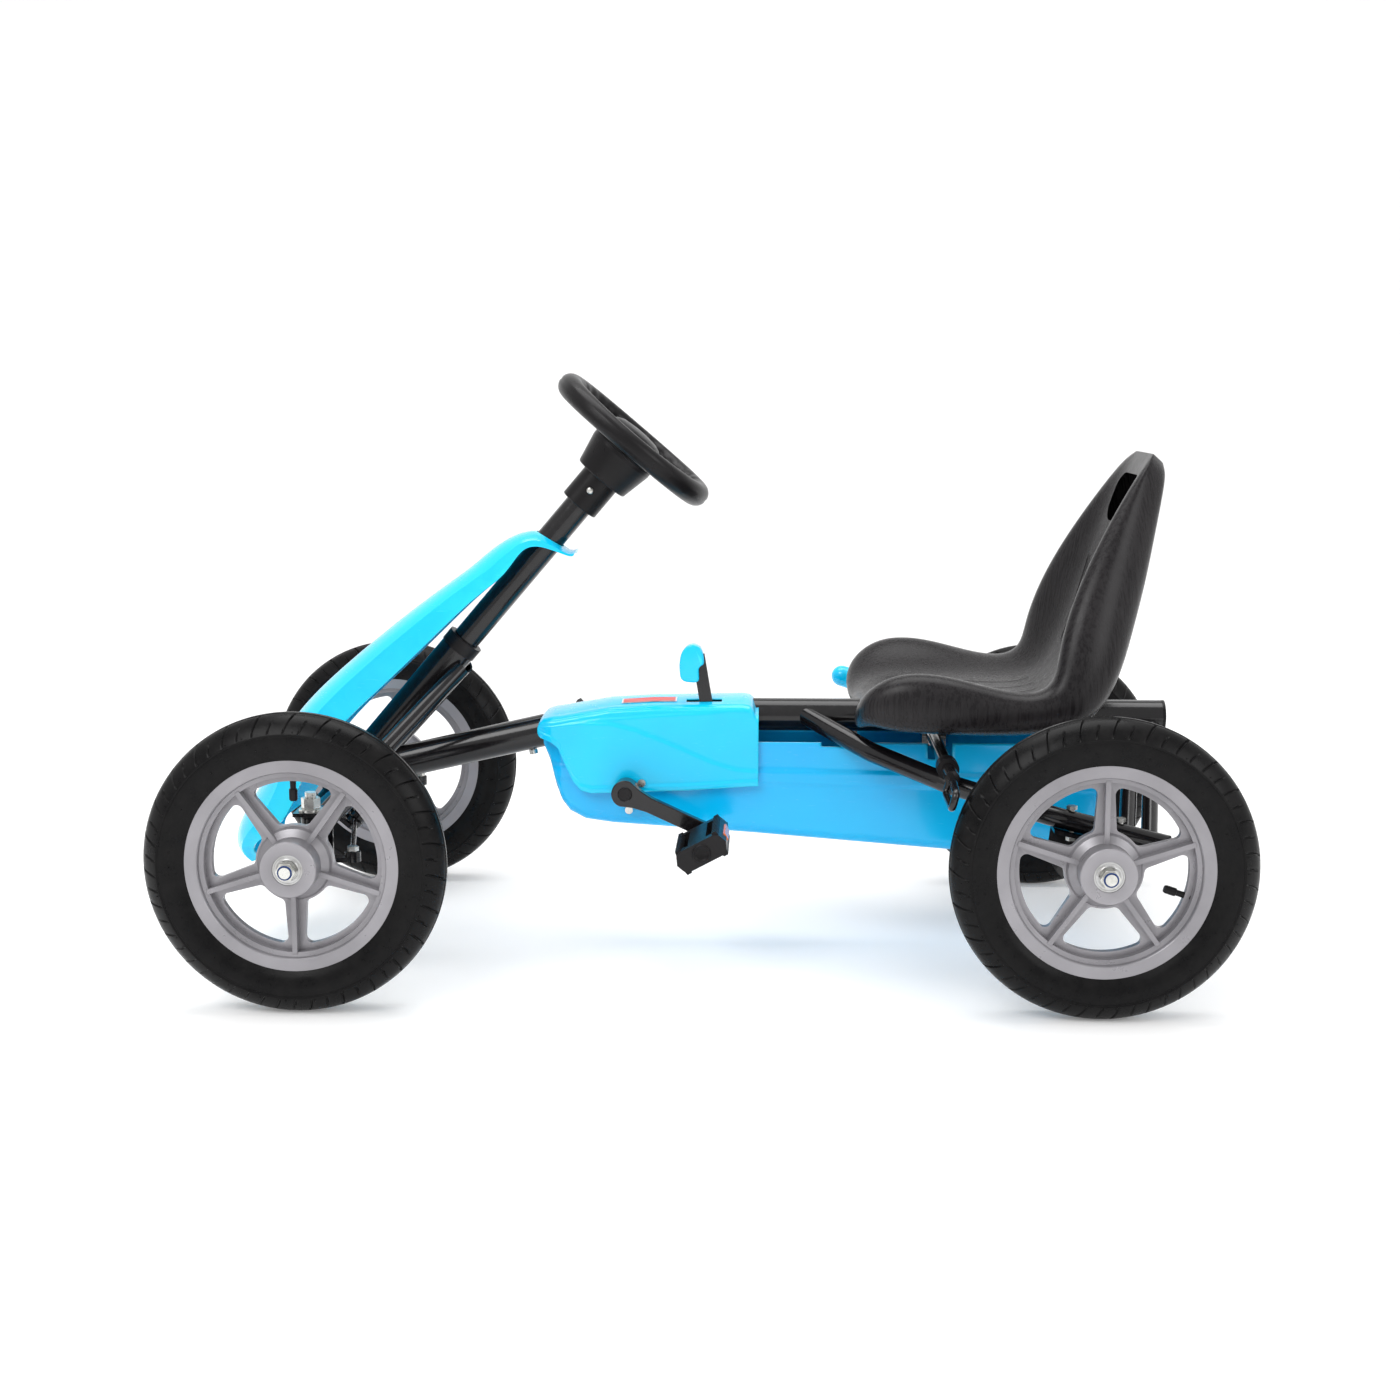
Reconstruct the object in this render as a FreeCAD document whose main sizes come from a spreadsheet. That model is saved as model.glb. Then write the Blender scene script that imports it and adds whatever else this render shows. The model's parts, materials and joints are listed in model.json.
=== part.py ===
import FreeCAD, Part
import math
import os
import Sketcher
from FreeCAD import Placement, Rotation, Vector

# Child's pedal go-kart.  The frame of the model: origin on the ground midway between the axles,
# +X to the rear, +Y to the driver's right, +Z up.  All lengths are in millimetres.

DIMENSIONS = [
    ("wheelbase", 838), ("track", 573), ("tyre_radius", 159), ("tyre_width", 56),
    ("rim_radius", 112.5), ("rim_width", 41.4), ("rim_bead_radius", 104), ("rim_barrel_radius", 93),
    ("rim_window_radius", 87), ("rim_web", 8), ("rim_rib", 30), ("hub_radius", 29.5),
    ("hub_ring_radius", 40), ("hub_width", 73), ("spoke_count", 5), ("bearing_radius", 16),
    ("bearing_width", 10), ("stub_radius", 6), ("running_gap", 0.05), ("side_gap", 0.3),
    ("backbone_radius", 19), ("backbone_height", 271), ("backbone_front_height", 198),
    ("backbone_bend", -101), ("backbone_end", 527), ("tube_wall", 2),
    ("column_angle", 49.5), ("column_foot_height", 194.8), ("column_radius", 16),
    ("column_top", 455), ("column_bottom", -44), ("housing_radius", 21), ("housing_top", 199.5),
    ("housing_bottom", -30), ("collar_radius", 22), ("collar_height", 15),
    ("front_beam_radius", 16), ("front_beam_height", 179.5), ("kingpin_offset", 210),
    ("kingpin_radius", 6), ("kingpin_tube_radius", 11), ("yoke_thickness", 4), ("yoke_height", 76),
    ("steering_arm", 44.3), ("pitman_arm", 36), ("tie_rod_radius", 4), ("stay_radius", 10),
    ("rail_radius", 11), ("rail_offset", 200), ("strut_radius", 9),
    ("crank_forward", -89), ("crank_height", 192), ("crank_length", 100), ("crank_drop", 24.8),
    ("crank_axle_radius", 7.5), ("crank_housing_radius", 20), ("crank_bush_radius", 12),
    ("pedal_length", 60), ("pedal_width", 92), ("pedal_thickness", 25), ("pedal_tilt", 28),
    ("chain_pitch", 12.7), ("chainring_teeth", 17), ("sprocket_teeth", 13), ("sprocket_thickness", 3),
    ("chain_plane", 24), ("rear_axle_radius", 8), ("axle_bush_radius", 12),
    ("case_half_width", 47), ("cover_half_width", 54), ("skin", 3),
    ("wheel_ring_radius", 95), ("wheel_grip_radius", 13.5), ("wheel_centre", 518),
    ("sleeve_bottom", 420), ("cup_bottom", 460), ("cup_top", 500),
    ("brake_shaft_radius", 8), ("brake_shaft_x", 268), ("brake_shaft_z", 240),
    ("brake_rod_radius", 4), ("brake_lever_y", 210), ("brake_grip_radius", 13),
    ("shift_lever_y", -28.5), ("shift_pivot_x", 6), ("shift_pivot_z", 262),
    ("seat_wall", 4), ("seat_channel", 30),
]

doc = FreeCAD.newDocument("PedalGoKart")
sheet = doc.addObject("Spreadsheet::Sheet", "Kart")
for row, (alias, value) in enumerate(DIMENSIONS, start=1):
    sheet.set(f"A{row}", alias)
    sheet.set(f"B{row}", str(value))
    sheet.setAlias(f"B{row}", alias)
doc.recompute()


class Size:
    """A length together with the sheet expression that gives it."""

    def __init__(self, value, text):
        self.value = float(value)
        self.text = text

    def __add__(self, other):
        other = as_size(other)
        return Size(self.value + other.value, f"({self.text} + {other.text})")

    def __sub__(self, other):
        other = as_size(other)
        return Size(self.value - other.value, f"({self.text} - {other.text})")

    def __mul__(self, other):
        other = as_size(other)
        return Size(self.value * other.value, f"({self.text} * {other.text})")

    def __truediv__(self, other):
        other = as_size(other)
        return Size(self.value / other.value, f"({self.text} / {other.text})")

    def __neg__(self):
        return Size(-self.value, f"(0 - {self.text})")

    def __radd__(self, other):
        return as_size(other) + self

    def __rsub__(self, other):
        return as_size(other) - self

    def __rmul__(self, other):
        return as_size(other) * self

    def __float__(self):
        return self.value


def as_size(item):
    return item if isinstance(item, Size) else Size(item, f"({float(item)!r})")


def cell(alias):
    return Size(sheet.get(alias), f"Kart.{alias}")


K = {alias: cell(alias) for alias, _ in DIMENSIONS}
V = {alias: size.value for alias, size in K.items()}

LEFT, RIGHT = -1, 1
SIDES = [("left", LEFT), ("right", RIGHT)]
X_AXIS, Y_AXIS, Z_AXIS = Vector(1, 0, 0), Vector(0, 1, 0), Vector(0, 0, 1)

FRONT_X = -V["wheelbase"] / 2
REAR_X = V["wheelbase"] / 2
AXLE_Z = V["tyre_radius"]
WHEEL_Y = V["track"] / 2
CRANK = Vector(V["crank_forward"], 0, V["crank_height"])
REAR_AXLE = Vector(REAR_X, 0, AXLE_Z)

COLUMN_ANGLE = math.radians(V["column_angle"])
COLUMN_UP = Vector(math.cos(COLUMN_ANGLE), 0, math.sin(COLUMN_ANGLE))
COLUMN_BACK = Vector(math.sin(COLUMN_ANGLE), 0, -math.cos(COLUMN_ANGLE))
COLUMN_FOOT = Vector(FRONT_X, 0, V["column_foot_height"])

nodes = []


# ---------------------------------------------------------------- small helpers

def bind(feature, **sizes):
    """Sets properties, as sheet expressions where the value is a Size."""
    for name, size in sizes.items():
        if isinstance(size, Size):
            feature.setExpression(name, size.text)
        else:
            setattr(feature, name, size)


def turned(axis, angle, at=Vector(0, 0, 0)):
    return Placement(at, Rotation(axis, angle))


def facing(at, axis=Z_AXIS):
    """A placement whose own Z points along axis."""
    return Placement(Vector(at), Rotation(Z_AXIS, Vector(axis)))


def column_point(along, behind=0.0, across=0.0):
    """A point given by its distance up the steering column, behind it and across it."""
    return COLUMN_FOOT + COLUMN_UP * along + COLUMN_BACK * behind + Vector(0, across, 0)


def node(feature, label, placement=None):
    feature.Label = label
    if placement is not None:
        feature.Placement = placement
    nodes.append(feature)
    return feature


def rod(radius, length, placement, name="Rod"):
    feature = doc.addObject("Part::Cylinder", name)
    bind(feature, Radius=radius, Height=length)
    feature.Placement = placement
    return feature


def block(length, width, height, placement, name="Block"):
    """A box centred on its placement in X and Y, rising along its own Z."""
    feature = doc.addObject("Part::Box", name)
    bind(feature, Length=length, Width=width, Height=height)
    corner = Vector(-float(length) / 2, -float(width) / 2, 0)
    feature.Placement = placement.multiply(Placement(corner, Rotation()))
    return feature


def hexagon(radius, height, placement, name="Hexagon"):
    feature = doc.addObject("Part::Prism", name)
    bind(feature, Polygon=6, Circumradius=radius, Height=height)
    feature.Placement = placement
    return feature


def cut(base, tool, name="Cut"):
    feature = doc.addObject("Part::Cut", name)
    feature.Base = base
    feature.Tool = tool
    return feature


def fuse(parts, name="Fuse"):
    feature = doc.addObject("Part::MultiFuse", name)
    feature.Shapes = parts
    return feature


def group(parts, name="Group"):
    feature = doc.addObject("Part::Compound", name)
    feature.Links = parts
    return feature


def sleeve(outer, inner, length, placement, name="Sleeve"):
    return cut(rod(outer, length, placement), rod(inner, length, placement), name)


def rod_between(start, end, radius, name="Rod"):
    start, end = Vector(start), Vector(end)
    return rod(radius, (end - start).Length, facing(start, end - start), name)


def fixed_shape(shape, name):
    feature = doc.addObject("Part::Feature", name)
    feature.Shape = shape
    return feature


def bent_path(points, bend):
    """Straight runs joined by tangent arcs of one bend radius."""
    points = [Vector(p) for p in points]
    edges = []
    start = points[0]
    for before, corner, after in zip(points, points[1:], points[2:]):
        into = (corner - before).normalize()
        out = (after - corner).normalize()
        turn = into.getAngle(out)
        setback = bend * math.tan(turn / 2)
        middle = (out - into).normalize() * (bend / math.cos(turn / 2) - bend)
        first, last = corner - into * setback, corner + out * setback
        edges.append(Part.makeLine(start, first))
        edges.append(Part.Arc(first, corner + middle, last).toShape())
        start = last
    edges.append(Part.makeLine(start, points[-1]))
    return Part.Wire(edges)


def swept(points, bend, radius):
    path = bent_path(points, bend)
    direction = (Vector(points[1]) - Vector(points[0])).normalize()
    ring = Part.Wire(Part.makeCircle(radius, Vector(points[0]), direction))
    return path.makePipeShell([ring], True, False)


def mirrored(points, side):
    """Points are given for the right-hand side; the left has the opposite Y."""
    return [Vector(x, side * y, z) for x, y, z in points]


# ---------------------------------------------------------------- sketch-based bodies

def new_body(name):
    return doc.addObject("PartDesign::Body", name)


def draw(body, plane, outline, offset=0.0, circles=()):
    """A closed outline of lines and, where a third item is given, arcs through that point."""
    sketch = body.newObject("Sketcher::SketchObject", "Sketch")
    support = next(item for item in body.Origin.OriginFeatures if item.Role == plane)
    sketch.AttachmentSupport = [(support, "")]
    sketch.MapMode = "FlatFace"
    sketch.AttachmentOffset = Placement(Vector(0, 0, float(offset)), Rotation())
    corners = [Vector(float(p[0]), float(p[1]), 0) for p in outline]
    ends, pins = [], []
    for index, point in enumerate(outline):
        start, end = corners[index - 1], corners[index]
        if len(point) == 3:
            via = Vector(float(point[2][0]), float(point[2][1]), 0)
            forward = (via - start).cross(end - via).z > 0
            curve = Part.ArcOfCircle(start, via, end) if forward else Part.ArcOfCircle(end, via, start)
        else:
            curve = Part.LineSegment(start, end)
            forward = True
        edge = sketch.addGeometry(curve, False)
        ends.append((edge, 1 if forward else 2, 2 if forward else 1))
    joins = []
    for index, (edge, _, last) in enumerate(ends):
        following, start, _ = ends[(index + 1) % len(ends)]
        joins.append(Sketcher.Constraint("Coincident", edge, last, following, start))
        pins += pin_point(edge, last, outline[index])
    for across, up, radius in circles:
        circle = Part.Circle(Vector(float(across), float(up), 0), Z_AXIS, float(radius))
        edge = sketch.addGeometry(circle, False)
        pins += pin_point(edge, 3, (across, up))
        pins.append((Sketcher.Constraint("Radius", edge, float(radius)), radius))
    sketch.addConstraint(joins + [constraint for constraint, _ in pins])
    for index, (_, size) in enumerate(pins, start=len(joins)):
        if isinstance(size, Size):
            sketch.setExpression(f"Constraints[{index}]", size.text)
    return sketch


def pin_point(edge, end, point):
    """The two distances from the sketch's origin that hold one end of an edge."""
    return [(Sketcher.Constraint("DistanceX", -1, 1, edge, end, float(point[0])), point[0]),
            (Sketcher.Constraint("DistanceY", -1, 1, edge, end, float(point[1])), point[1])]


def pad(body, sketch, length, symmetric=False, reverse=False):
    feature = body.newObject("PartDesign::Pad", "Pad")
    feature.Profile = sketch
    feature.SideType = "Symmetric" if symmetric else "One side"
    feature.Reversed = reverse
    bind(feature, Length=length)
    return feature


def pocket(body, sketch, depth, symmetric=False, reverse=False):
    doc.recompute()
    before = body.Shape.Volume
    feature = body.newObject("PartDesign::Pocket", "Pocket")
    feature.Profile = sketch
    feature.SideType = "Symmetric" if symmetric else "One side"
    feature.Reversed = reverse
    bind(feature, Length=depth)
    doc.recompute()
    if not body.Shape.Volume < before - 1.0:
        raise RuntimeError(f"a pocket in {body.Name} cuts nothing")
    return feature


def revolve(body, sketch):
    feature = body.newObject("PartDesign::Revolution", "Revolution")
    feature.Profile = sketch
    feature.ReferenceAxis = (sketch, ["V_Axis"])
    feature.Angle = 360
    return feature


def around(body, originals, count, axis_role="Z_Axis"):
    feature = body.newObject("PartDesign::PolarPattern", "PolarPattern")
    feature.Originals = originals
    axis = next(item for item in body.Origin.OriginFeatures if item.Role == axis_role)
    feature.Axis = (axis, [""])
    feature.Angle = 360
    bind(feature, Occurrences=count)
    body.Tip = feature
    return feature


def round_edges(body, radius, wanted):
    """Fillets the body's edges for which wanted(edge) is true."""
    doc.recompute()
    names = [f"Edge{i}" for i, edge in enumerate(body.Shape.Edges, start=1) if wanted(edge)]
    solid = body.Tip
    feature = body.newObject("PartDesign::Fillet", "Fillet")
    feature.Base = (solid, names)
    bind(feature, Radius=radius)
    body.Tip = feature
    return feature


def is_straight_along(edge, axis, length=None):
    ends = [vertex.Point for vertex in edge.Vertexes]
    if len(ends) != 2 or edge.Curve.TypeId != "Part::GeomLine":
        return False
    run = ends[1] - ends[0]
    parallel = abs(abs(run.normalize().dot(axis)) - 1) < 1e-4
    return parallel and (length is None or abs(edge.Length - length) < 0.05)


# ---------------------------------------------------------------- wheels

def wheel_placement(front, side, roll):
    """The wheel's own +Z points outboard and its first spoke points along own +Y."""
    centre = Vector(FRONT_X if front else REAR_X, side * WHEEL_Y, AXLE_Z)
    outboard = turned(X_AXIS, 90) if side == LEFT else turned(X_AXIS, -90)
    return Placement(centre, Rotation()).multiply(outboard).multiply(turned(Z_AXIS, roll))


def make_rim(label, placement, driven):
    body = new_body("Rim")
    half = K["rim_width"] / 2
    lip, bead, barrel = K["rim_radius"], K["rim_bead_radius"], K["rim_barrel_radius"]
    drop, chamfer = bead - 6, 1.0
    outer = [(lip, half - 1), (lip, half - 4), (bead + 1, half - 5), (bead, half - 11), (drop, half - 13)]
    inner = [(barrel, half - 7), (lip - 15, half - 5), (lip - 14.2, half - chamfer),
             (lip - 13.2, half), (lip - chamfer, half)]
    section = outer + [(r, -z) for r, z in reversed(outer)]
    section += [(r, -z) for r, z in reversed(inner)] + inner
    revolve(body, draw(body, "XZ_Plane", section))
    web = K["rim_web"] / 2
    disc = [(20, web), (barrel + 1, web), (barrel + 1, -web), (20, -web)]
    revolve(body, draw(body, "XZ_Plane", disc))
    width = K["hub_width"] / 2
    hub, ring = K["hub_radius"], K["hub_ring_radius"]
    profile = [(2, width), (hub - chamfer, width), (hub, width - chamfer), (hub, web + 8), (ring - 3, web + 3),
               (ring, web - 1)]
    revolve(body, draw(body, "XZ_Plane", profile + [(r, -z) for r, z in reversed(profile)]))
    window = rim_window()
    opening = pocket(body, draw(body, "XY_Plane", window), K["rim_web"] * 3, symmetric=True)
    around(body, [opening], K["spoke_count"])
    round_edges(body, 7, lambda edge: is_straight_along(edge, Z_AXIS, V["rim_web"]))
    rib = draw(body, "XY_Plane", [(-2.6, V["hub_radius"] - 3), (2.6, V["hub_radius"] - 3),
                                  (2.6, V["rim_barrel_radius"] + 2), (-2.6, V["rim_barrel_radius"] + 2)])
    bar = pad(body, rib, K["rim_rib"], symmetric=True)
    body.Tip = bar
    around(body, [bar], K["spoke_count"])
    bore_hub(body, driven)
    return node(body, label, placement)


def rim_window():
    """The opening between two spokes, on the side opposite the first spoke (own -Y)."""
    outer, inner = V["rim_window_radius"], V["hub_ring_radius"] + 1
    step = math.pi / V["spoke_count"]
    half_spoke_outer, half_spoke_inner = 8.5, 11.5
    a = step - math.asin(half_spoke_outer / outer)
    b = step - math.asin(half_spoke_inner / inner)

    def spot(radius, angle):
        return (radius * math.sin(angle), -radius * math.cos(angle))

    return [spot(outer, -a), (*spot(outer, a), spot(outer, 0)), spot(inner, b), (*spot(inner, -b), spot(inner, 0))]


def bore_hub(body, driven):
    """A free wheel has two bearing seats; the driven one is clamped on the stepped axle's end."""
    bore, depth = K["bearing_radius"] - 4, K["bearing_width"] + 1.5
    seat = K["bearing_radius"] + K["running_gap"]
    if driven:
        bore, depth, seat = K["stub_radius"], 1.5, K["rear_axle_radius"] + 0.1
    through = draw(body, "XY_Plane", [], circles=[(0, 0, bore)])
    pocket(body, through, K["hub_width"] + 10, symmetric=True)
    shoulder = K["hub_width"] / 2 - depth
    for direction in (1, -1):
        ring = draw(body, "XY_Plane", [], float(shoulder) * direction, [(0, 0, seat)])
        pocket(body, ring, K["bearing_width"] + 5, reverse=direction > 0)


def make_tyre(label, placement):
    """An open-bellied section: two beads on the rim, a round tread and a hollow inside."""
    body = new_body("Tyre")
    half, crown, wall = K["tyre_width"] / 2, K["tyre_radius"], 4.0
    seat, foot = K["rim_bead_radius"] + 1.4, K["rim_width"] / 2 - 5.4
    section = [
        (seat, foot), (seat + 8.6, foot),
        (seat + 28, half, (seat + 16.1, half - 3.2)),
        (crown, 0, (crown - 8.5, half * 0.66)),
        (seat + 28, -half, (crown - 8.5, half * -0.66)),
        (seat + 8.6, -foot, (seat + 16.1, 3.2 - half)), (seat, -foot),
        (seat, wall - foot), (seat + 11.5, wall - foot),
        (seat + 28, wall - half, (seat + 15.8, 8.5 - half)),
        (crown - wall - 1, 0, (crown - 13.5, (half - wall) * -0.64)),
        (seat + 28, half - wall, (crown - 13.5, (half - wall) * 0.64)),
        (seat + 11.5, foot - wall, (seat + 15.8, half - 8.5)), (seat, foot - wall),
    ]
    revolve(body, draw(body, "XZ_Plane", section))
    return node(body, label, placement)


def make_bearings(label, placement):
    outer, inner = K["bearing_radius"], K["stub_radius"] + K["running_gap"]
    edge = V["hub_width"] / 2 - 1.5
    starts = [edge - V["bearing_width"], -edge]
    rings = [sleeve(outer, inner, K["bearing_width"], facing(Vector(0, 0, z))) for z in starts]
    return node(group(rings, "Bearings"), label, placement)


def make_wheels():
    places = [("front_left", True, LEFT, 180), ("front_right", True, RIGHT, 184),
              ("rear_left", False, LEFT, 72), ("rear_right", False, RIGHT, 130)]
    for name, front, side, roll in places:
        placement = wheel_placement(front, side, roll)
        driven = name == "rear_right"
        make_rim(f"rim_{name}", placement, driven)
        make_tyre(f"tyre_{name}", placement)
        if not driven:
            make_bearings(f"bearings_{name}", placement)


# ---------------------------------------------------------------- frame tubes

BACKBONE_ROUTE = [
    (FRONT_X, 0, V["backbone_front_height"]),
    (V["backbone_bend"], 0, V["backbone_height"]),
    (V["backbone_end"], 0, V["backbone_height"]),
]
BACKBONE_BEND = 120
RAIL_SLOPE = 0.252
RAIL_REAR_X = 498
RAIL_ROUTE = [(112, 6, 273), (188, 80, 242), (272, 150, 219), (371, V["rail_offset"], 197),
              (RAIL_REAR_X, V["rail_offset"], 197 - RAIL_SLOPE * (RAIL_REAR_X - 371))]
RAIL_BEND = 90
SEAT_BOLT_X = (250, 330)
HANGER_BOLT_X = (398, 450)


def rail_height(x):
    return 197 - RAIL_SLOPE * (x - 371)


COVER_SCREW, CASE_SCREW = Vector(-72, 0, 199), Vector(-87, 0, 166)
TUBE_SCREW, TUBE_SCREW_AXIS = Vector(-203, 0, 227.6), Vector(0.2, 0, -1)


def backbone_solid():
    return fixed_shape(swept(BACKBONE_ROUTE, BACKBONE_BEND, V["backbone_radius"]), "BackboneOutside")


def housing_solid():
    low = column_point(V["housing_bottom"] - 20)
    return rod(K["housing_radius"], K["housing_top"] - K["housing_bottom"] + 20,
               facing(low, COLUMN_UP), "HousingOutside")


def rail_solid(side, extra=0.0):
    return fixed_shape(swept(mirrored(RAIL_ROUTE, side), RAIL_BEND, V["rail_radius"] + extra), "RailOutside")


def make_backbone():
    bore = fixed_shape(swept(BACKBONE_ROUTE, BACKBONE_BEND, V["backbone_radius"] - V["tube_wall"]), "Bore")
    bolt_holes = [rod(4.1, 60, facing(Vector(x, -30, V["backbone_height"]), Y_AXIS)) for x in SEAT_BOLT_X]
    screw_hole = rod(2.6, 10, facing(TUBE_SCREW - TUBE_SCREW_AXIS * 8, TUBE_SCREW_AXIS))
    tube = cut(backbone_solid(), fuse([bore, housing_solid(), screw_hole] + bolt_holes))
    node(tube, "backbone_tube")


def make_steering_housing():
    low = column_point(V["housing_bottom"])
    length = K["housing_top"] - K["housing_bottom"]
    place = facing(low, COLUMN_UP)
    node(sleeve(K["housing_radius"], K["housing_radius"] - 2.5, length, place), "steering_housing")


def make_front_axle():
    halves = []
    for _, side in SIDES:
        start = Vector(FRONT_X, side * 14, V["front_beam_height"])
        length = K["kingpin_offset"] - 44
        place = facing(start, Vector(0, side, 0))
        tube = sleeve(K["front_beam_radius"], K["front_beam_radius"] - 2, length, place)
        halves.append(cut(tube, fuse([housing_solid(), backbone_solid()])))
    node(group(halves), "front_axle_tubes")


def make_yokes():
    """C-shaped brackets on the beam's ends, open outward, that hold the kingpins."""
    yokes = []
    for _, side in SIDES:
        top = V["front_beam_height"] + 17.5
        thick, drop = K["yoke_thickness"], K["yoke_height"]
        inner, outer = V["kingpin_offset"] - 30, V["kingpin_offset"] + 14
        back_place = Placement(Vector(FRONT_X, side * (inner + 2), top - float(drop)), Rotation())
        back = block(34, thick, drop, back_place)
        middle = side * (inner + outer) / 2
        lugs = [block(34, outer - inner, thick, Placement(Vector(FRONT_X, middle, z), Rotation()))
                for z in (top - float(thick), top - float(drop))]
        hole = rod(K["kingpin_radius"] + 0.1, 200,
                   facing(Vector(FRONT_X, side * V["kingpin_offset"], 60)))
        yokes.append(cut(fuse([back] + lugs), hole))
    node(group(yokes), "kingpin_yokes")


def make_stays():
    stays = []
    for _, side in SIDES:
        top = column_point(186, 18, side * 16)
        foot = column_point(-11.6, 9.9, side * 176)
        stay = rod_between(foot, top, K["stay_radius"])
        bore = rod_between(foot, top, K["stay_radius"] - K["tube_wall"])
        beam = rod(K["front_beam_radius"], 400,
                   facing(Vector(FRONT_X, -200, V["front_beam_height"]), Y_AXIS))
        stays.append(cut(stay, fuse([bore, housing_solid(), beam, backbone_solid()])))
    node(group(stays), "column_stays")


def make_side_rails():
    for name, side in SIDES:
        bore = fixed_shape(swept(mirrored(RAIL_ROUTE, side), RAIL_BEND, V["rail_radius"] - 2), "Bore")
        holes = [rod(3.1, 60, facing(Vector(x, side * V["rail_offset"], rail_height(x) - 30)))
                 for x in HANGER_BOLT_X]
        node(cut(rail_solid(side), fuse([bore, backbone_solid()] + holes)), f"side_rail_{name}")


def make_rear_struts():
    struts = []
    for _, side in SIDES:
        for foot_x, head_x in ((457, 494), (481, 517)):
            foot = Vector(foot_x, side * V["rail_offset"], rail_height(foot_x))
            head = Vector(head_x, side * 4, V["backbone_height"] - 4)
            outside = rod_between(foot, head, K["strut_radius"])
            inside = rod_between(foot, head, K["strut_radius"] - 1.5)
            struts.append(cut(outside, fuse([inside, backbone_solid(), rail_solid(side)])))
    node(group(struts), "rear_struts")


def make_axle_brackets():
    """A round plate beside each rail carries the axle; its flange is bolted under the rail."""
    face = 172
    for name, side in SIDES:
        body = new_body("AxleBracket")
        direction = -side
        reverse = side == RIGHT
        left_x, right_x = -41, 47
        top_left = rail_height(REAR_X + left_x) - V["rail_radius"] - 0.6 - AXLE_Z
        top_right = rail_height(REAR_X + right_x) - V["rail_radius"] - 0.6 - AXLE_Z
        plate = [(left_x, top_left), (right_x, top_right), (-44, 0, (0, -44))]
        pad(body, draw(body, "XZ_Plane", plate, 12 * direction), 4, reverse=reverse)
        flange = [(left_x, top_left), (right_x, top_right), (right_x, top_right - 4), (left_x, top_left - 4)]
        pad(body, draw(body, "XZ_Plane", flange, 12 * direction), 30, reverse=reverse)
        boss = draw(body, "XZ_Plane", [], 0, [(0, 0, K["axle_bush_radius"] + 4)])
        body.Tip = pad(body, boss, 16, reverse=reverse)
        bore = draw(body, "XZ_Plane", [], 0, [(0, 0, K["axle_bush_radius"])])
        pocket(body, bore, 100, symmetric=True)
        place = Placement(Vector(REAR_X, side * face, AXLE_Z), Rotation())
        body.Placement = place
        holes = [rod(3.1, 60, facing(Vector(x, side * V["rail_offset"], rail_height(x) - 40)))
                 for x in HANGER_BOLT_X]
        node(cut(body, fuse(holes)), f"axle_bracket_{name}")
    bushes = []
    for _, side in SIDES:
        start = Vector(REAR_X, side * (face - 1), AXLE_Z)
        place = facing(start, Vector(0, side, 0))
        bushes.append(sleeve(K["axle_bush_radius"], K["rear_axle_radius"] + K["running_gap"], 17, place))
    node(group(bushes), "axle_bushes")


def make_tube_plugs():
    plugs = []
    ends = [(Vector(V["backbone_end"], 0, V["backbone_height"]), X_AXIS, V["backbone_radius"])]
    slope = Vector(1, 0, -RAIL_SLOPE).normalize()
    for _, side in SIDES:
        ends.append((Vector(RAIL_REAR_X, side * V["rail_offset"], rail_height(RAIL_REAR_X)), slope,
                     V["rail_radius"]))
    for end, direction, radius in ends:
        cap = rod(radius, 3.5, facing(end, direction))
        stem = rod(radius - 2.05, 14, facing(end - direction * 14, direction))
        plugs.append(fuse([cap, stem]))
    node(group(plugs), "tube_plugs")


# ---------------------------------------------------------------- steering

def make_column_bushes():
    """The upper bush has a visible collar; both are pushed into the housing."""
    inner = K["column_radius"] + K["running_gap"]
    sleeve_radius = K["housing_radius"] - 2.55
    top = column_point(V["housing_top"])
    collar = sleeve(K["collar_radius"], inner, K["collar_height"], facing(top, COLUMN_UP))
    stem = sleeve(sleeve_radius, inner, 20, facing(column_point(V["housing_top"] - 20), COLUMN_UP))
    lower = sleeve(sleeve_radius, inner, 20, facing(column_point(V["housing_bottom"]), COLUMN_UP))
    node(group([fuse([collar, stem]), lower]), "column_bushes")


def make_steering_column():
    low = column_point(V["column_bottom"])
    length = K["column_top"] - K["column_bottom"]
    tube = sleeve(K["column_radius"], K["column_radius"] - 2, length, facing(low, COLUMN_UP))
    plate_low = column_point(V["column_bottom"] - 5)
    along = Rotation(COLUMN_BACK, Y_AXIS, COLUMN_UP, "ZXY")
    middle = plate_low + COLUMN_BACK * (V["pitman_arm"] / 2)
    bar = block(K["pitman_arm"], 20, 5, Placement(middle, along))
    ends = [rod(17, 5, facing(plate_low, COLUMN_UP)),
            rod(10, 5, facing(plate_low + COLUMN_BACK * V["pitman_arm"], COLUMN_UP))]
    pin = rod(K["tie_rod_radius"], 27, facing(plate_low + COLUMN_BACK * V["pitman_arm"], COLUMN_UP))
    nut_at = column_point(V["column_bottom"] + 17, V["pitman_arm"])
    nut = cut(hexagon(6.5, 5, facing(nut_at, COLUMN_UP)), rod(K["tie_rod_radius"], 5, facing(nut_at, COLUMN_UP)))
    node(group([fuse([tube, bar, pin] + ends), nut]), "steering_column")


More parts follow.
